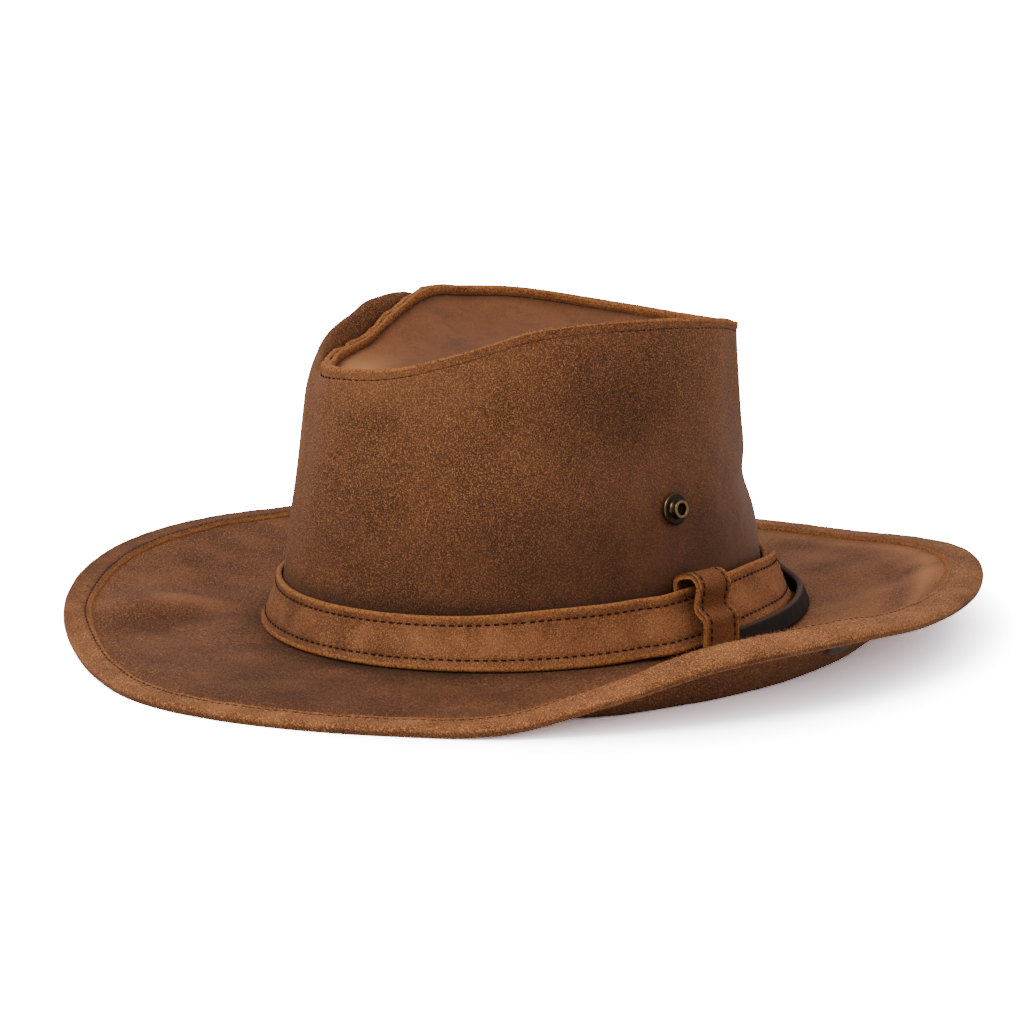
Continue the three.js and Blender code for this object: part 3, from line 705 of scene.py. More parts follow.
# brim
brimAts = np.arange(brim["columns"]) * 360 / brim["columns"]
verts, faces, info = shell(brimUnder, np.linspace(0, 1, brim["rows"]), brimAts, brim["leather"],
                           lowest=0, bulge=0.25)
cadLow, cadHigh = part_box("brim")
ownLow, ownHigh = verts.min(0) * mm, verts.max(0) * mm
shift = Vector(((cadLow.x + cadHigh.x - ownLow[0] - ownHigh[0]) / 2,
                (cadLow.y + cadHigh.y - ownLow[1] - ownHigh[1]) / 2, cadLow.z))


def brimShade(at, v):
    # painted highlight on a fold's ridge and painted shade in its valley on the right front; lighter and
    # darker streaks along the curl on the left; lighter at the left back, painted shade at the front and
    # beside the band
    fold = 0.42 * sector(at, 215 + 33 * v, 3) * hill(v, 0.46, 0.22)
    valley = 0.42 * sector(at, 228 + 24 * v, 4) * hill(v, 0.42, 0.24)
    streaks = (0.22 * sector(at, 38 + 10 * v, 6) * smooth(v, .3, .5)
               + 0.36 * hill(v, 0.76 + 0.02 * np.sin(np.radians(at * 7)), 0.04) * sector(at, 50, 50)
               - 0.22 * hill(v, 0.62, 0.06) * sector(at, 56, 36))
    wide = 0.2 * sector(at, 70, 60) - 0.42 * sector(at, 292, 34)
    byBand = 0.5 * hill(v, 0.04, 0.12)
    return fold - valley + streaks + wide - byBand


place, share = info["at"], info["v"]
mottle = 0.12 * ripple(verts, 24, 41).reshape(share.shape)
brimMasks = {
    "raw": np.where(share > 0.99, 0.5, 0),
    # the upper face takes brimShade over a mottle, the underside a painted shade
    "shade": np.where(info["inner"] > 0, brimShade(place, share) + mottle, -0.1),
    "waxy": 0.22 * smooth(share, 0.1, 0.3) * (1 - smooth(share, 0.7, 0.85)),
}
makeObject("brim_leather", verts, faces, made["brimLeather"], "brim", brimMasks)
print("brim", len(faces), "faces, shift", tuple(round(s / mm, 2) for s in shift))

# hem strip, wrapped round the rim
hem = {
    "columns": 480, "rows": 17, "arcSteps": 7, "bulge": 0.7, "under": 0.99, "edgeBulge": 0.4,
    "sewn": 0.2, "grooveDepth": 0.35, "grooveWide": 0.07, "pared": 0.9, "rawShare": 0.14,
}


def farSide(at):
    # on the wearer's far left the nap hides the stitches
    return 0.8 * sector(at, 62, 42, 4)


def hemLift(at, v, p):
    # the stitches pull the strip down into a shallow groove; the strip swells a little between
    groove = hill(v, hem["sewn"], hem["grooveWide"]) * (1 - farSide(at))
    return groove * hem["grooveDepth"] + ripple(p, 9, 21) * 0.12


def hemTop(at, v):
    return hemUnder(at, v) - normals(hemUnder, at, v) * brim["hemLeather"]


def makeHem():
    # rows run over the top from the inner edge, round the rim, and back between strip and brim
    at = np.arange(hem["columns"]) * 360 / hem["columns"]
    down = np.array([0, 0, -1.0])
    topShares = np.linspace(0, 1, hem["rows"])
    top = []
    for v in topShares:
        vv = np.full(at.shape, v)
        p, n = hemTop(at, vv), normals(hemTop, at, vv)
        thin = hem["pared"] * (1 - smooth(v, 0, 0.07))   # the inner edge is nearly level with the brim
        top.append(p + n * (hemLift(at, vv, p) + thin)[:, None])
    foot = brimUnder(at, np.ones_like(at)) - 0.15 * down
    outward = (top[-1] - top[-3]) * np.array([1, 1, 0])
    outward /= np.linalg.norm(outward, axis=1, keepdims=True)
    middle, half = (top[-1] + foot) / 2, (top[-1] - foot) / 2
    arc = []
    for k in range(1, hem["arcSteps"]):
        a = math.pi * k / hem["arcSteps"]
        arc.append(middle + half * math.cos(a) + outward * hem["bulge"] * math.sin(a))
    under = [foot, brimUnder(at, np.full(at.shape, hem["under"])) + 0.25 * down]
    back = [hemUnder(at, np.full(at.shape, v)) for v in (0.97, 0.7, 0.4, 0.12, 0.0)]
    back[-1] = back[-1] + 0.4 * down
    inwards = top[0] - top[1]
    inwards /= np.linalg.norm(inwards, axis=1, keepdims=True)
    lip = [mix(back[-1], top[0], t) + inwards * hem["edgeBulge"] * math.sin(math.pi * t)
           for t in (.25, .5, .75)]
    grid = np.array(top + arc + under + back + lip)
    grid[..., 2] = np.maximum(grid[..., 2], 0.02)
    r, c = grid.shape[:2]
    arcShares = [1.0 if k < len(arc) / 2 else 1.1 for k in range(len(arc))]
    shares = [*topShares, *arcShares, *[1.1] * 2, *[0.5] * 4, *[0.0] * 4]
    verts = grid.reshape(-1, 3)
    faces = windOutward(verts, quads(r, c, True, True))
    return verts, faces, np.array(shares)[:, None] + np.zeros((1, c)), at + np.zeros((r, 1))


verts, faces, share, place = makeHem()
hemMasks = {
    "raw": (np.where(share < hem["rawShare"], 0.8 * (1 - share / hem["rawShare"]), 0)
            + np.where(np.abs(share - 1.0) < 0.01, 0.12, 0)),
    # painted shade in the stitch groove, under the rim and on the far left and back left, where the near strip
    # is lit
    "shade": (-0.35 * hill(share, hem["sewn"], 0.05) * (1 - farSide(place)) - np.where(share > 1.05, 0.5, 0)
              - 0.25 * sector(place, 60, 40) - 0.52 * sector(place, 195, 54, 4)
              + 0.1 * ripple(verts, 15, 43).reshape(share.shape)),
}
makeObject("brim_hem_strip", verts, faces, made["hemLeather"], "brim_hem", hemMasks)
print("hem", len(faces), "faces")

# crown
crownVs = np.concatenate([np.linspace(0, wallShare, 56)[:-1],
                          np.linspace(wallShare, wallShare + arcShare, 22)[:-1],
                          np.linspace(wallShare + arcShare, 1, 7)])


def crownLift(at, v, p):
    # soft unevenness of the leather, the groove that the seam's stitches pull and its wavy raw edge
    free = smooth(p[..., 2], 24, 40) * (1 - smooth(v, 0.86, 0.95))
    wavy = (0.3 + 0.45 * sector(at, 205, 32)) * smooth(v, 0.93, 1)
    return (ripple(p, 30, 3) * crown["swell"] * free - hill(v, crown["sewn"], 0.012) * 0.3
            + ripple(p, 7, 9) * wavy)


crownAts = np.arange(crown["columns"]) * 360 / crown["columns"]
verts, faces, info = shell(crownPoint, crownVs, crownAts, crown["wall"], lowest=footLevel,
                           lift=crownLift, bulge=0.3)
place, share, level = info["at"], info["v"], info["z"] / crown["height"]
near = sector(place, 330, 62)   # the seam is tight along the near side
crownMasks = {
    "raw": np.where(info["edge"] > 0, 1 - 0.75 * near,
                    smooth(share, 0.95 + 0.04 * near, 0.975 + 0.025 * near)),
    # painted shade in the side dent, toward the band and in the seam's groove; painted highlights high at the
    # front and along the front fold
    "shade": (-0.42 * sector(place, 352, 20) * hill(level, 0.74, 0.2)
              + 0.16 * smooth(level, 0.7, 0.86) * sector(place, 285, 40)
              - 0.25 * smooth(level, 0.6, 0.35) * sector(place, 330, 60)
              + 0.28 * sector(place, 236, 6) * hill(level, 0.62, 0.16)
              - 0.2 * hill(share, crown["sewn"], 0.012)
              - 0.5 * smooth(level, 0.24, 0.17)),
    "waxy": (0.7 * smooth(apart(place, 340), -35, 30) * smooth(level, 0.8, 0.5)
             + 0.25 * smooth(level, 0.5, 0.3)),
}
makeObject("crown_wall", verts, faces, made["crownLeather"], "crown_side", crownMasks)
print("crown wall", len(faces), "faces")


def makeTip():
    # rows run inward from the raw upstand; the upper and lower faces meet at the rim and the middle
    n = crown["columns"]
    vs = np.concatenate([np.linspace(0, upstand, 7)[:-1], np.linspace(upstand, 1, 52)[:-1]])
    at = np.arange(n) * 360 / n
    low, high = [], []
    for v in vs:
        p = tipPoint(at, np.full(n, v))
        nor = normals(tipPoint, at, np.full(n, v))
        x = max((v - upstand) / (1 - upstand), 0)
        swell = ripple(p, 26, 8) * 0.9 * x * (1 - x) * 2
        fold = 1.2 * sector(at, 215 + 25 * x, 16) * np.sin(math.pi * x)
        p = p + np.stack([0 * at, 0 * at, swell + fold], -1)
        p = p + nor * (ripple(p, 7, 12) * 0.45 * max(1 - v / 0.1, 0))[:, None]
        low.append(p)
        high.append(p + nor * crown["tipLeather"])
    middle = tipPoint(np.zeros(1), np.ones(1))[0]
    top = middle + np.array([0, 0, crown["tipLeather"]])
    verts = np.concatenate([np.array(high).reshape(-1, 3), np.array(low).reshape(-1, 3), [top, middle]])
    r = len(vs)
    under, last = r * n, (r - 1) * n
    faces = quads(r, n, False, True) + [f[::-1] for f in quads(r, n, False, True, under)]
    for j in range(n):
        k = (j + 1) % n
        faces.append((k, j, under + j, under + k))
        faces.append((last + j, last + k, 2 * under))
        faces.append((under + last + k, under + last + j, 2 * under + 1))
    share = np.append(np.tile(np.repeat(vs, n), 2), [1, 1])
    place = np.append(np.tile(at, 2 * r), [0, 0])
    masks = {
        "raw": np.clip(1 - share / 0.1, 0, 1) ** 0.5,
        # painted shade along the fold at the upstand, and lighter over the front of the dish
        "shade": (-0.75 * hill(share, upstand, 0.035)
                  + 0.85 * sector(place, 255, 36) * smooth(share, 0.17, 0.24)
                  * (1 - smooth(share, 0.3, 0.55))),
        "waxy": 0.6 * smooth(share, 0.2, 0.45),
    }
    return verts, windOutward(verts, faces), masks


verts, faces, tipMasks = makeTip()
makeObject("crown_tip_panel", verts, faces, made["tipLeather"], "crown_tip", tipMasks)
print("tip", len(faces), "faces")


# band with its rounded end
def bandEnds(at):
    # rounds the corners of the outer end by narrowing the strip there; the hidden inner end is lower
    arc = (band["over"] - at) * math.radians(1) * 90 / band["tabCorner"]
    cut = band["tabCorner"] * (1 - np.sqrt(np.clip(1 - (1 - np.clip(arc, 0, 1)) ** 2, 0, 1))) / bandHeight
    covered = 0.16 * (1 - smooth(at, 52, 62))
    return cut, 1 - cut - covered


def bandWave(at, v, p):
    groove = hill(v, band["sewn"], 0.035) + hill(v, 1 - band["sewn"], 0.035)
    return -groove * 0.25 + ripple(p, 12, 4) * 0.12 + 0.15 * hill(v, 0.5, 0.2)


bandAts = np.concatenate([np.linspace(band["under"], band["over"] - 4, band["columns"]),
                          band["over"] - 4 * (1 - np.linspace(0, 1, 17)[1:] ** 0.6)])
verts, faces, info = shell(bandOuter, np.linspace(0, 1, 31), bandAts, band["leather"] * 0.9, ring=False,
                           lift=bandWave, ends=bandEnds, bulge=0.3, lowest=footLevel)
edgeShare = np.minimum(info["v"], 1 - info["v"])
endShare = smooth(info["at"], band["over"] - 0.9, band["over"] - 0.3)
bandMasks = {
    "raw": np.maximum(np.maximum(info["edge"], endShare), 0.8 * (1 - smooth(edgeShare, 0.03, 0.1))),
    # painted shade along the stitch grooves; lighter in the middle and darker toward the front
    "shade": (-0.3 * hill(edgeShare, band["sewn"], 0.04) + 0.1 * smooth(edgeShare, 0.25, 0.4)
              + 0.12 * ripple(verts, 13, 31).reshape(edgeShare.shape) - 0.34 * sector(info["at"], 262, 24)),
    "waxy": 0.12 * smooth(edgeShare, 0.2, 0.35),
}
makeObject("hat_band_strip", verts, faces, made["bandLeather"], "hat_band", bandMasks)
print("band", len(faces), "faces")


# keepers
def makeKeeper(name, at0, node):
    section = keeperSection(at0)
    half = math.degrees(keeper["width"] / crown["headWidth"])

    def outer(at, v):
        s = np.clip(v, 0, 1) * (len(section) - 1)
        i = np.clip(s.astype(int), 0, len(section) - 2)
        knot = mix(section[i], section[i + 1], (s - i)[..., None])
        return standing(at, np.maximum(knot[..., 1], footLevel), knot[..., 0])

    def wave(at, v, p):
        return 0.22 * hill(np.abs(apart(at, at0)) / half, keeper["sewn"], 0.1) + ripple(p, 8, 6) * 0.1

    ats = np.linspace(at0 - half, at0 + half, 25)
    verts, faces, info = shell(outer, np.linspace(0, 1, 110), ats, keeper["leather"], side=-1, ring=False,
                               lift=wave, bulge=0.2, lowest=footLevel)
    side = np.abs(apart(info["at"], at0)) / half
    # painted shade along the stitch lines and a painted shadow on the loop's inner face
    masks = {"raw": np.maximum(info["edge"], 0.85 * smooth(side, 0.8, 0.98)),
             "shade": -0.3 * hill(side, keeper["sewn"], 0.1) - np.where(info["inner"] > 0, 0.5, 0)}
    makeObject(name, verts, faces, made["keeperLeather"], node, masks)
    return outer, half


keepers = [(side, keeper[side], *makeKeeper(f"keeper_{side}_loop", keeper[side], f"keeper_{side}"))
           for side in ("left", "right")]
print("keepers made")


# strap
def strapOuter(at, v):
    return strapInner(at, v) + normals(strapInner, at, v) * strap["thickness"]


strapAts = np.linspace(strap["rows"][0][0], strap["rows"][-1][0], 260)
verts, faces, info = shell(strapOuter, np.linspace(0, 1, 17), strapAts, strap["thickness"], ring=False,
                           bulge=0.3, edgeSteps=5)
# painted highlight along the strap's top edge
strapMasks = {"shade": smooth(info["v"], 0.86, 1.0)}
makeObject("strap_thong", verts, faces, strapBlack, "strap", strapMasks)
print("strap", len(faces), "faces")

# snap halves
snap = {
    "flange": 11, "flangeThick": 1, "ring": 6.4, "bore": 4, "ringHigh": 2.6,
    "cap": 12.5, "capHigh": 1.4, "level": 50, "place": 2, "matePlace": 6, "across": 0.77,
    "shank": 3.2, "seat": 0.75, "steps": 48,
}


def turnedPiece(name, outline, centre, normal, material, node):
    # a lathe piece from half an outline that starts and ends on its axis
    n, rows = snap["steps"], len(outline) - 2
    turns = [2 * math.pi * k / n for k in range(n)]
    verts = [(r * math.cos(a), r * math.sin(a), z) for r, z in outline[1:-1] for a in turns]
    verts += [(0, 0, outline[0][1]), (0, 0, outline[-1][1])]
    faces = quads(rows, n, False, True)
    for k in range(n):
        m = (k + 1) % n
        faces.append((m, k, rows * n))
        faces.append(((rows - 1) * n + k, (rows - 1) * n + m, rows * n + 1))
    faces = windOutward(verts, faces)
    turned = Vector(normal).to_track_quat("Z", "Y")
    moved = [tuple(turned @ Vector(p) + Vector(centre)) for p in verts]
    obj = makeObject(name, moved, faces, material, node)
    obj.data.set_sharp_from_angle(angle=math.radians(38))
    if material is brassOld:
        obj.data.materials.append(brassDark)   # the flange's face and the bore's floor take a darker brass than the ring and the flange's rim
        for face in obj.data.polygons:
            middle = sum((np.array(verts[k][:2]) for k in face.vertices), np.zeros(2)) / len(face.vertices)
            far = float(np.hypot(*middle))
            rimmed = snap["bore"] / 2 - 0.05 < far < snap["ring"] / 2 + 0.3
            face.material_index = 0 if rimmed or far > snap["flange"] / 2 - 0.35 else 1


def ringOutline():
    f, r, b = snap["flange"] / 2, snap["ring"] / 2, snap["bore"] / 2
    t, top = snap["flangeThick"], snap["flangeThick"] + snap["ringHigh"]
    return [(0, 0), (f - .15, 0), (f, .2), (f, t * .55), (f - .2, t * .85), (f - .6, t), (f - 1.1, t * .95),
            (r + .5, t * .9), (r + .12, t * 1.05), (r - .05, t + .35), (r - .05, top - .7), (r, top - .35),
            (r - .12, top - .1), (r - .4, top), (b + .35, top), (b + .1, top - .12), (b, top - .4),
            (b, t + .6), (b - .3, t + .3), (0, t + .25)]


def capOutline(diameter, shankLength):
    c, s, h = diameter / 2, snap["shank"] / 2, snap["capHigh"]
    return [(0, shankLength), (s, shankLength), (s, 0), (c - .2, 0), (c, -.15), (c, -h * .35),
            (c * .93, -h * .6), (c * .75, -h * .82), (c * .45, -h * .95), (c * .2, -h), (0, -h)]


snapShare = wallShare * (snap["level"] - footLevel) / (
    float(seamTop(snap["place"])) - crown["seamAllowance"] - footLevel)
oneAt, oneV = np.array([float(snap["place"])]), np.array([snapShare])
studAt = crownPoint(oneAt, oneV)[0]
studNormal = normals(crownPoint, oneAt, oneV)[0]
mateAt, mateV = np.array([float(snap["matePlace"])]), np.array([snap["across"]])
socketAt = brimUpper(mateAt, mateV, 0)[0]
socketNormal = -normals(brimUnder, mateAt, mateV)[0]
for ringName, capName, at0, nor, wall, diameter, ringNode, capNode in (
        ("snap_stud_ring", "snap_post_cap", studAt, studNormal, crown["wall"], snap["flange"],
         "snap_stud", "snap_post"),
        ("snap_socket_ring", "snap_cap_dome", socketAt, socketNormal, brim["leather"], snap["cap"],
         "snap_socket", "snap_cap")):
    turnedPiece(ringName, ringOutline(), at0 + nor * snap["seat"], nor, brassOld, ringNode)
    turnedPiece(capName, capOutline(diameter, wall + 2 * snap["seat"] - gap),
                at0 - nor * (wall + snap["seat"]), nor, steelDark, capNode)
print("snaps made")


# stitches, with geometry nodes
def newTree(name, floats=(), wholes=(), materials=()):
    # takes a mesh, named numbers and materials, and gives a mesh back
    tree = bpy.data.node_groups.new(name, "GeometryNodeTree")
    face = tree.interface
    face.new_socket(name="Geometry", in_out="INPUT", socket_type="NodeSocketGeometry")
    for kind, labels in (("Float", floats), ("Int", wholes), ("Material", materials)):
        for label in labels:
            face.new_socket(name=label, in_out="INPUT", socket_type="NodeSocket" + kind)
    face.new_socket(name="Geometry", in_out="OUTPUT", socket_type="NodeSocketGeometry")
    return tree, tree.nodes.new("NodeGroupInput").outputs, tree.nodes.new("NodeGroupOutput").inputs


def socketId(tree, label):
    for item in tree.interface.items_tree:
        if item.item_type == "SOCKET" and item.in_out == "INPUT" and item.name == label:
            return item.identifier


def resized(tree, geometry, scale):
    moved = addNode(tree, "GeometryNodeTransform", {"Geometry": geometry, "Scale": scale})
    return moved.outputs["Geometry"]


def scaled(tree, vector, factor):
    longer = addNode(tree, "ShaderNodeVectorMath", {0: vector, "Scale": factor}, operation="SCALE")
    return longer.outputs["Vector"]


def painted(tree, geometry, material):
    real = addNode(tree, "GeometryNodeRealizeInstances", {"Geometry": geometry}).outputs["Geometry"]
    paint = addNode(tree, "GeometryNodeSetMaterial", {"Geometry": real, "Material": material})
    return paint.outputs["Geometry"]


stitch = {
    "pitch": 3.0, "length": 1.5, "width": 0.8, "proud": -0.05,
    "shortest": 0.85, "longest": 1.1, "seed": 4, "hole": (1.1, 1.25, 0.8),
}


def makeStitchTree():
    t, given, result = newTree("stitchRow", ("Pitch", "Length", "Width"), materials=("Thread", "Hole"))
    curve = addNode(t, "GeometryNodeMeshToCurve", {"Mesh": given["Geometry"]}).outputs["Curve"]
    points = addNode(t, "GeometryNodeResampleCurve", {"Curve": curve, "Length": given["Pitch"]},
                     mode="LENGTH")
    tangent = addNode(t, "GeometryNodeInputTangent").outputs[0]
    turned = addNode(t, "FunctionNodeAlignRotationToVector", {"Vector": tangent}, axis="X")
    ball = addNode(t, "GeometryNodeMeshUVSphere", {"Segments": 8, "Rings": 6, "Radius": 0.5}).outputs["Mesh"]
    row = {"Points": points.outputs["Curve"], "Rotation": turned.outputs["Rotation"]}
    wide = given["Width"]
    size = addNode(t, "ShaderNodeCombineXYZ", {"X": given["Length"], "Y": wide, "Z": wide})
    thread = resized(t, ball, size.outputs["Vector"])
    varied = addNode(t, "FunctionNodeRandomValue",   # stitches differ a little in length
                     {0: (stitch["shortest"],) * 3, 1: (stitch["longest"],) * 3, "Seed": stitch["seed"]},
                     data_type="FLOAT_VECTOR")
    threads = addNode(t, "GeometryNodeInstanceOnPoints",
                      {**row, "Instance": thread, "Scale": varied.outputs["Value"]})
    # a dark blob at the end of each stitch, a painted shadow in its needle hole
    hole = resized(t, ball, scaled(t, stitch["hole"], wide))
    holes = addNode(t, "GeometryNodeInstanceOnPoints", {**row, "Instance": hole}).outputs["Instances"]
    moved = addNode(t, "GeometryNodeTranslateInstances",
                    {"Instances": holes, "Translation": scaled(t, (0.5, 0, 0), given["Length"])})
    both = addNode(t, "GeometryNodeJoinGeometry",
                   {"Geometry": painted(t, threads.outputs["Instances"], given["Thread"])})
    t.links.new(painted(t, moved.outputs["Instances"], given["Hole"]), both.inputs["Geometry"])
    soft = addNode(t, "GeometryNodeSetShadeSmooth", {"Geometry": both.outputs["Geometry"]})
    t.links.new(soft.outputs["Geometry"], result["Geometry"])
    return t


stitchTree = makeStitchTree()


def growFrom(obj, tree, values):
    # runs a node tree on a helper mesh and keeps what it makes as a plain mesh
    mod = obj.modifiers.new("grow", "NODES")
    mod.node_group = tree
    for label, value in values.items():
        mod[socketId(tree, label)] = value
    bpy.context.view_layer.update()
    graph = bpy.context.evaluated_depsgraph_get()
    mesh = bpy.data.meshes.new_from_object(obj.evaluated_get(graph))
    obj.modifiers.remove(mod)
    old = obj.data
    obj.data = mesh
    bpy.data.meshes.remove(old)
    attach(obj, "root")


def sew(name, path, slot, closed=False, **own):
    size = {**stitch, **own}
    n = len(path)
    edges = [(i, i + 1) for i in range(n - 1)] + ([(n - 1, 0)] if closed else [])
    values = {"Pitch": size["pitch"] * mm, "Length": size["length"] * mm, "Width": size["width"] * mm,
              "Thread": threadBrown, "Hole": holeShadow}
    growFrom(newObject(name, path, edges), stitchTree, values)


def onSurface(surface, at, v, out, lift=None):
    v = np.broadcast_to(v, at.shape)
    p = surface(at, v)
    n = normals(surface, at, v)
    more = lift(at, v, p) if lift is not None else 0
    return p + n * np.asarray(out + more)[..., None]


around = np.arange(720) * 0.5
proud = stitch["proud"]
seamLine = np.arange(350, 656, 0.5)   # along the near side the seam is closed over its stitches
sew("seam_stitches", onSurface(crownPoint, seamLine, crown["sewn"], proud, crownLift), "crown_leather")
sew("hem_stitches", onSurface(hemTop, around, hem["sewn"], 0.3 * farSide(around) - proud, hemLift),
    "hem_leather", closed=True, width=0.62)
bandLine = np.linspace(band["under"] + band["hidden"], band["over"] - 2.2, 900)
low = onSurface(bandOuter, bandLine, band["sewn"], proud, bandWave)
high = onSurface(bandOuter, bandLine, 1 - band["sewn"], proud, bandWave)
end = onSurface(bandOuter, np.full(24, band["over"] - 2.0), np.linspace(band["sewn"], 1 - band["sewn"], 24),
                proud, bandWave)
sew("band_stitches", np.concatenate([low, end[1:-1], high[::-1]]), "band_leather")
for side, at0, outer, half in keepers:
    for k, across in enumerate((-keeper["sewn"], keeper["sewn"])):
        line = outer(np.full(80, at0 + across * half), np.linspace(0.36, 0.97, 80))
        sew(f"keeper_{side}_stitches_{k}", line, "keeper_leather", pitch=2.8, width=0.5)
print("stitches sewn")

# loose fibres on the raw edges
fibre = {"density": 2.2, "length": 1.3, "width": 0.07, "shortest": 0.35, "longest": 1.2, "seed": 11}


def makeFibreTree():
    t, given, result = newTree("rawFibres", ("Density", "Length", "Width"), ("Seed",), ("Fibre",))
    spots = addNode(t, "GeometryNodeDistributePointsOnFaces",
                    {"Mesh": given["Geometry"], "Density": given["Density"], "Seed": given["Seed"]})
    cone = addNode(t, "GeometryNodeMeshCone",
                   {"Vertices": 3, "Radius Top": 0, "Radius Bottom": given["Width"], "Depth": given["Length"]},
                   fill_type="NGON")
    some = addNode(t, "FunctionNodeRandomValue", {0: (-1,) * 3, 1: (1,) * 3, "Seed": given["Seed"]},
                   data_type="FLOAT_VECTOR")
    lean = addNode(t, "ShaderNodeVectorMath", {0: spots.outputs["Normal"], 1: some.outputs["Value"]})
    turned = addNode(t, "FunctionNodeAlignRotationToVector", {"Vector": lean.outputs["Vector"]}, axis="Z")
    size = addNode(t, "FunctionNodeRandomValue",
                   {2: fibre["shortest"], 3: fibre["longest"], "Seed": fibre["seed"]})
    fibres = addNode(t, "GeometryNodeInstanceOnPoints",
                     {"Points": spots.outputs["Points"], "Instance": cone.outputs["Mesh"],
                      "Rotation": turned.outputs["Rotation"], "Scale": size.outputs[1]})
    t.links.new(painted(t, fibres.outputs["Instances"], given["Fibre"]), result["Geometry"])
    return t


fibreTree = makeFibreTree()


def fuzz(name, surface, at, vs, seed, out=0.0, flip=False, density=1.0, length=1.0):
    grid = np.array([onSurface(surface, at, v, out) for v in vs])
    faces = quads(*grid.shape[:2])
    helper = newObject(name, grid.reshape(-1, 3), faces=[f[::-1] for f in faces] if flip else faces)
    values = {"Density": fibre["density"] * density * 1e6, "Length": fibre["length"] * length * mm,
              "Width": fibre["width"] * mm, "Seed": seed, "Fibre": rawEdge}
    growFrom(helper, fibreTree, values)


hair = {"width": 0.07, "steps": 14}


def makeHairTree():
    t, given, result = newTree("looseHairs", ("Width",), materials=("Hair",))
    curve = addNode(t, "GeometryNodeMeshToCurve", {"Mesh": given["Geometry"]}).outputs["Curve"]
    ring = addNode(t, "GeometryNodeCurvePrimitiveCircle", {"Resolution": 5, "Radius": given["Width"]})
    tube = addNode(t, "GeometryNodeCurveToMesh",
                   {"Curve": curve, "Profile Curve": ring.outputs["Curve"], "Fill Caps": True})
    t.links.new(painted(t, tube.outputs["Mesh"], given["Hair"]), result["Geometry"])
    return t


hairTree = makeHairTree()


def layHairs(name, surface, hairs, flip=1):
    # each hair: place and share where it starts, place and share where it ends, and its bend
    points, edges = [], []
    for at0, v0, at1, v1, bend in hairs:
        t = np.linspace(0, 1, hair["steps"])
        v = mix(v0, v1, t) + bend * np.sin(math.pi * t)
        edges += [(len(points) + k, len(points) + k + 1) for k in range(hair["steps"] - 1)]
        points += list(onSurface(surface, mix(at0, at1, t), v, 0.1 * flip))
    growFrom(newObject(name, points, edges), hairTree, {"Width": hair["width"] * mm, "Hair": hairPale})


bandHairs = [(337, .9, 343, .99, .12), (340, .02, 341, .12, .03), (299, .55, 303, .4, .04)]
hemHairs = [(21, .45, 24, .75, .12), (52, .3, 55, .6, .05), (262, .4, 264, .55, .05)]
crownHairs = [(301, .3, 303, .34, .01), (322, .42, 324, .4, .01)]
layHairs("band_hairs", bandOuter, bandHairs)
layHairs("hem_hairs", hemTop, hemHairs, -1)
layHairs("crown_hairs", crownPoint, crownHairs)
eachDegree = np.linspace(0, 360, 361)
fuzz("seam_fibres", crownPoint, eachDegree, (0.94, 0.97, 1.0), 1)
fuzz("tip_edge_fibres", tipPoint, eachDegree, (0.0, 0.05, 0.11), 2, out=crown["tipLeather"])
fuzz("hem_fibres", hemTop, eachDegree, (0.0, 0.03, 0.07), 3, flip=True)
fuzz("rim_fibres", hemTop, eachDegree, (0.9, 0.95, 1.0), 4, flip=True, density=0.8, length=0.8)
bandRound = np.linspace(band["under"] + band["hidden"], band["over"], 400)
fuzz("band_top_fibres", bandOuter, bandRound, (0.95, 0.975, 1.0), 5)
fuzz("band_foot_fibres", bandOuter, bandRound, (0.0, 0.025, 0.05), 6)
print("fibres grown")

# stage, light and camera
stage = {
    "world": 0.75, "white": 30.0, "nearWhite": 5.0,
    "shadowAt": (12, -4), "shadowInner": (132, 132), "shadowOuter": (182, 208),
}
lights = {  # how far to the right, beyond and above the hat, then size, all in m, and power in W
    "key": (-1.0, -0.9, 1.6, 1.1, 20.0),
    "fill": (1.4, -1.0, 0.9, 1.4, 4.0),
}
camera = {
    "azimuth": 50, "elevation": 13.5, "distance": 1.03, "aim": 10, "lens": 100, "sensor": 36,
    "picture": 1024, "aside": -14, "up": 74,   # shifted by this many pixels of a picture this wide
}
azimuth, elevation = math.radians(camera["azimuth"]), math.radians(camera["elevation"])
right = Vector((math.cos(azimuth), math.sin(azimuth), 0))
ahead = Vector((-math.sin(azimuth), math.cos(azimuth), 0))
floorMesh = bpy.data.meshes.new("floor")
floorMesh.from_pydata([(-30, -30, 0), (30, -30, 0), (30, 30, 0), (-30, 30, 0)], [], [(0, 1, 2, 3)])
floorObj = bpy.data.objects.new("floor", floorMesh)
bpy.context.scene.collection.objects.link(floorObj)


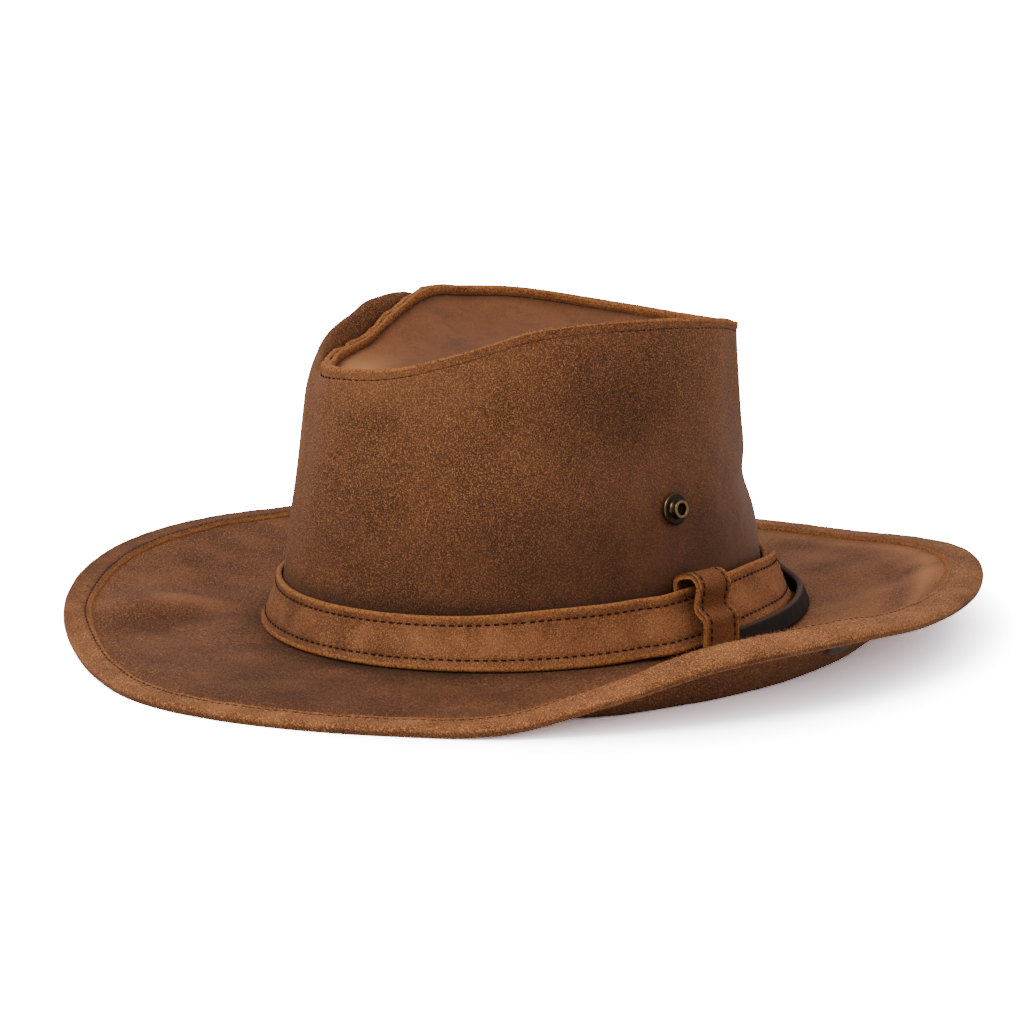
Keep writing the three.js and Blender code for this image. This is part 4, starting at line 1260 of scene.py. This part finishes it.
def makeFloorPaint():
    # white paper: the camera sees it run out into pure white away from the hat, with a painted shadow where
    # its brightness drops inside an oval round the hat, over its real soft shadow
    m = bpy.data.materials.new("floorPaper")
    m.use_nodes = True
    t = m.node_tree
    t.nodes.remove(t.nodes["Principled BSDF"])
    spot = addNode(t, "ShaderNodeTexCoord").outputs["Object"]

    def fromShadow(size):
        # 1 on an oval of this size round the shadow, more outside it
        total = 0.0
        for axis, middle, reach in zip((right, ahead), stage["shadowAt"], size):
            along = addNode(t, "ShaderNodeVectorMath", {0: spot, 1: tuple(axis)}, operation="DOT_PRODUCT")
            past = mathNode(t, "DIVIDE", minus(t, along.outputs["Value"], middle * mm), reach * mm)
            total = plus(t, total, times(t, past, past))
        return mathNode(t, "SQRT", total)

    near, far = fromShadow(stage["shadowInner"]), fromShadow(stage["shadowOuter"])
    # 0 at the inner oval, 1 at the outer one
    outside = mathNode(t, "DIVIDE", minus(t, near, 1.0), plus(t, minus(t, near, far), 0.0001))
    # painted shadow: the floor's brightness rises from the inner oval out to the outer one
    rise = mathNode(t, "POWER", stage["white"] / stage["nearWhite"], ramp(t, outside, 0.0, 1.0))
    white = scaled(t, (0.86, 0.835, 0.9), times(t, rise, stage["nearWhite"]))
    bright = addNode(t, "ShaderNodeBsdfDiffuse", {"Color": white})
    plain = addNode(t, "ShaderNodeBsdfDiffuse", {"Color": (0.86, 0.86, 0.86, 1)})
    seen = addNode(t, "ShaderNodeLightPath").outputs["Is Camera Ray"]
    both = addNode(t, "ShaderNodeMixShader", {0: seen, 1: plain.outputs[0], 2: bright.outputs[0]})
    t.links.new(both.outputs[0], t.nodes["Material Output"].inputs["Surface"])
    return m


floorMesh.materials.append(makeFloorPaint())

world = bpy.data.worlds.new("studio")
world.use_nodes = True
back = world.node_tree.nodes["Background"]
back.inputs["Color"].default_value = (1, 1, 1, 1)
seen = addNode(world.node_tree, "ShaderNodeLightPath").outputs["Is Camera Ray"]
worldPower = mathNode(world.node_tree, "MULTIPLY_ADD", seen, stage["white"] - stage["world"], stage["world"])
world.node_tree.links.new(worldPower, back.inputs["Strength"])
bpy.context.scene.world = world

target = Vector((0, shift.y, camera["aim"] * mm))
for name, (aside, beyond, up, size, power) in lights.items():
    data = bpy.data.lights.new(name, "AREA")
    data.shape = "DISK"
    data.size = size
    data.energy = power
    lamp = bpy.data.objects.new(name, data)
    lamp.location = target + right * aside + ahead * beyond + Vector((0, 0, up))
    lamp.rotation_euler = (target - lamp.location).to_track_quat("-Z", "Y").to_euler()
    bpy.context.scene.collection.objects.link(lamp)

toCamera = Vector((math.sin(azimuth) * math.cos(elevation), -math.cos(azimuth) * math.cos(elevation),
                   math.sin(elevation)))
camData = bpy.data.cameras.new("camera")
camData.lens = camera["lens"]
camData.sensor_width = camera["sensor"]
camData.shift_x = camera["aside"] / camera["picture"]
camData.shift_y = camera["up"] / camera["picture"]
camData.clip_start = 0.05
cam = bpy.data.objects.new("camera", camData)
cam.location = target + toCamera * camera["distance"]
cam.rotation_euler = (-toCamera).to_track_quat("-Z", "Y").to_euler()
bpy.context.scene.collection.objects.link(cam)
bpy.context.scene.camera = cam
print("stage ready")
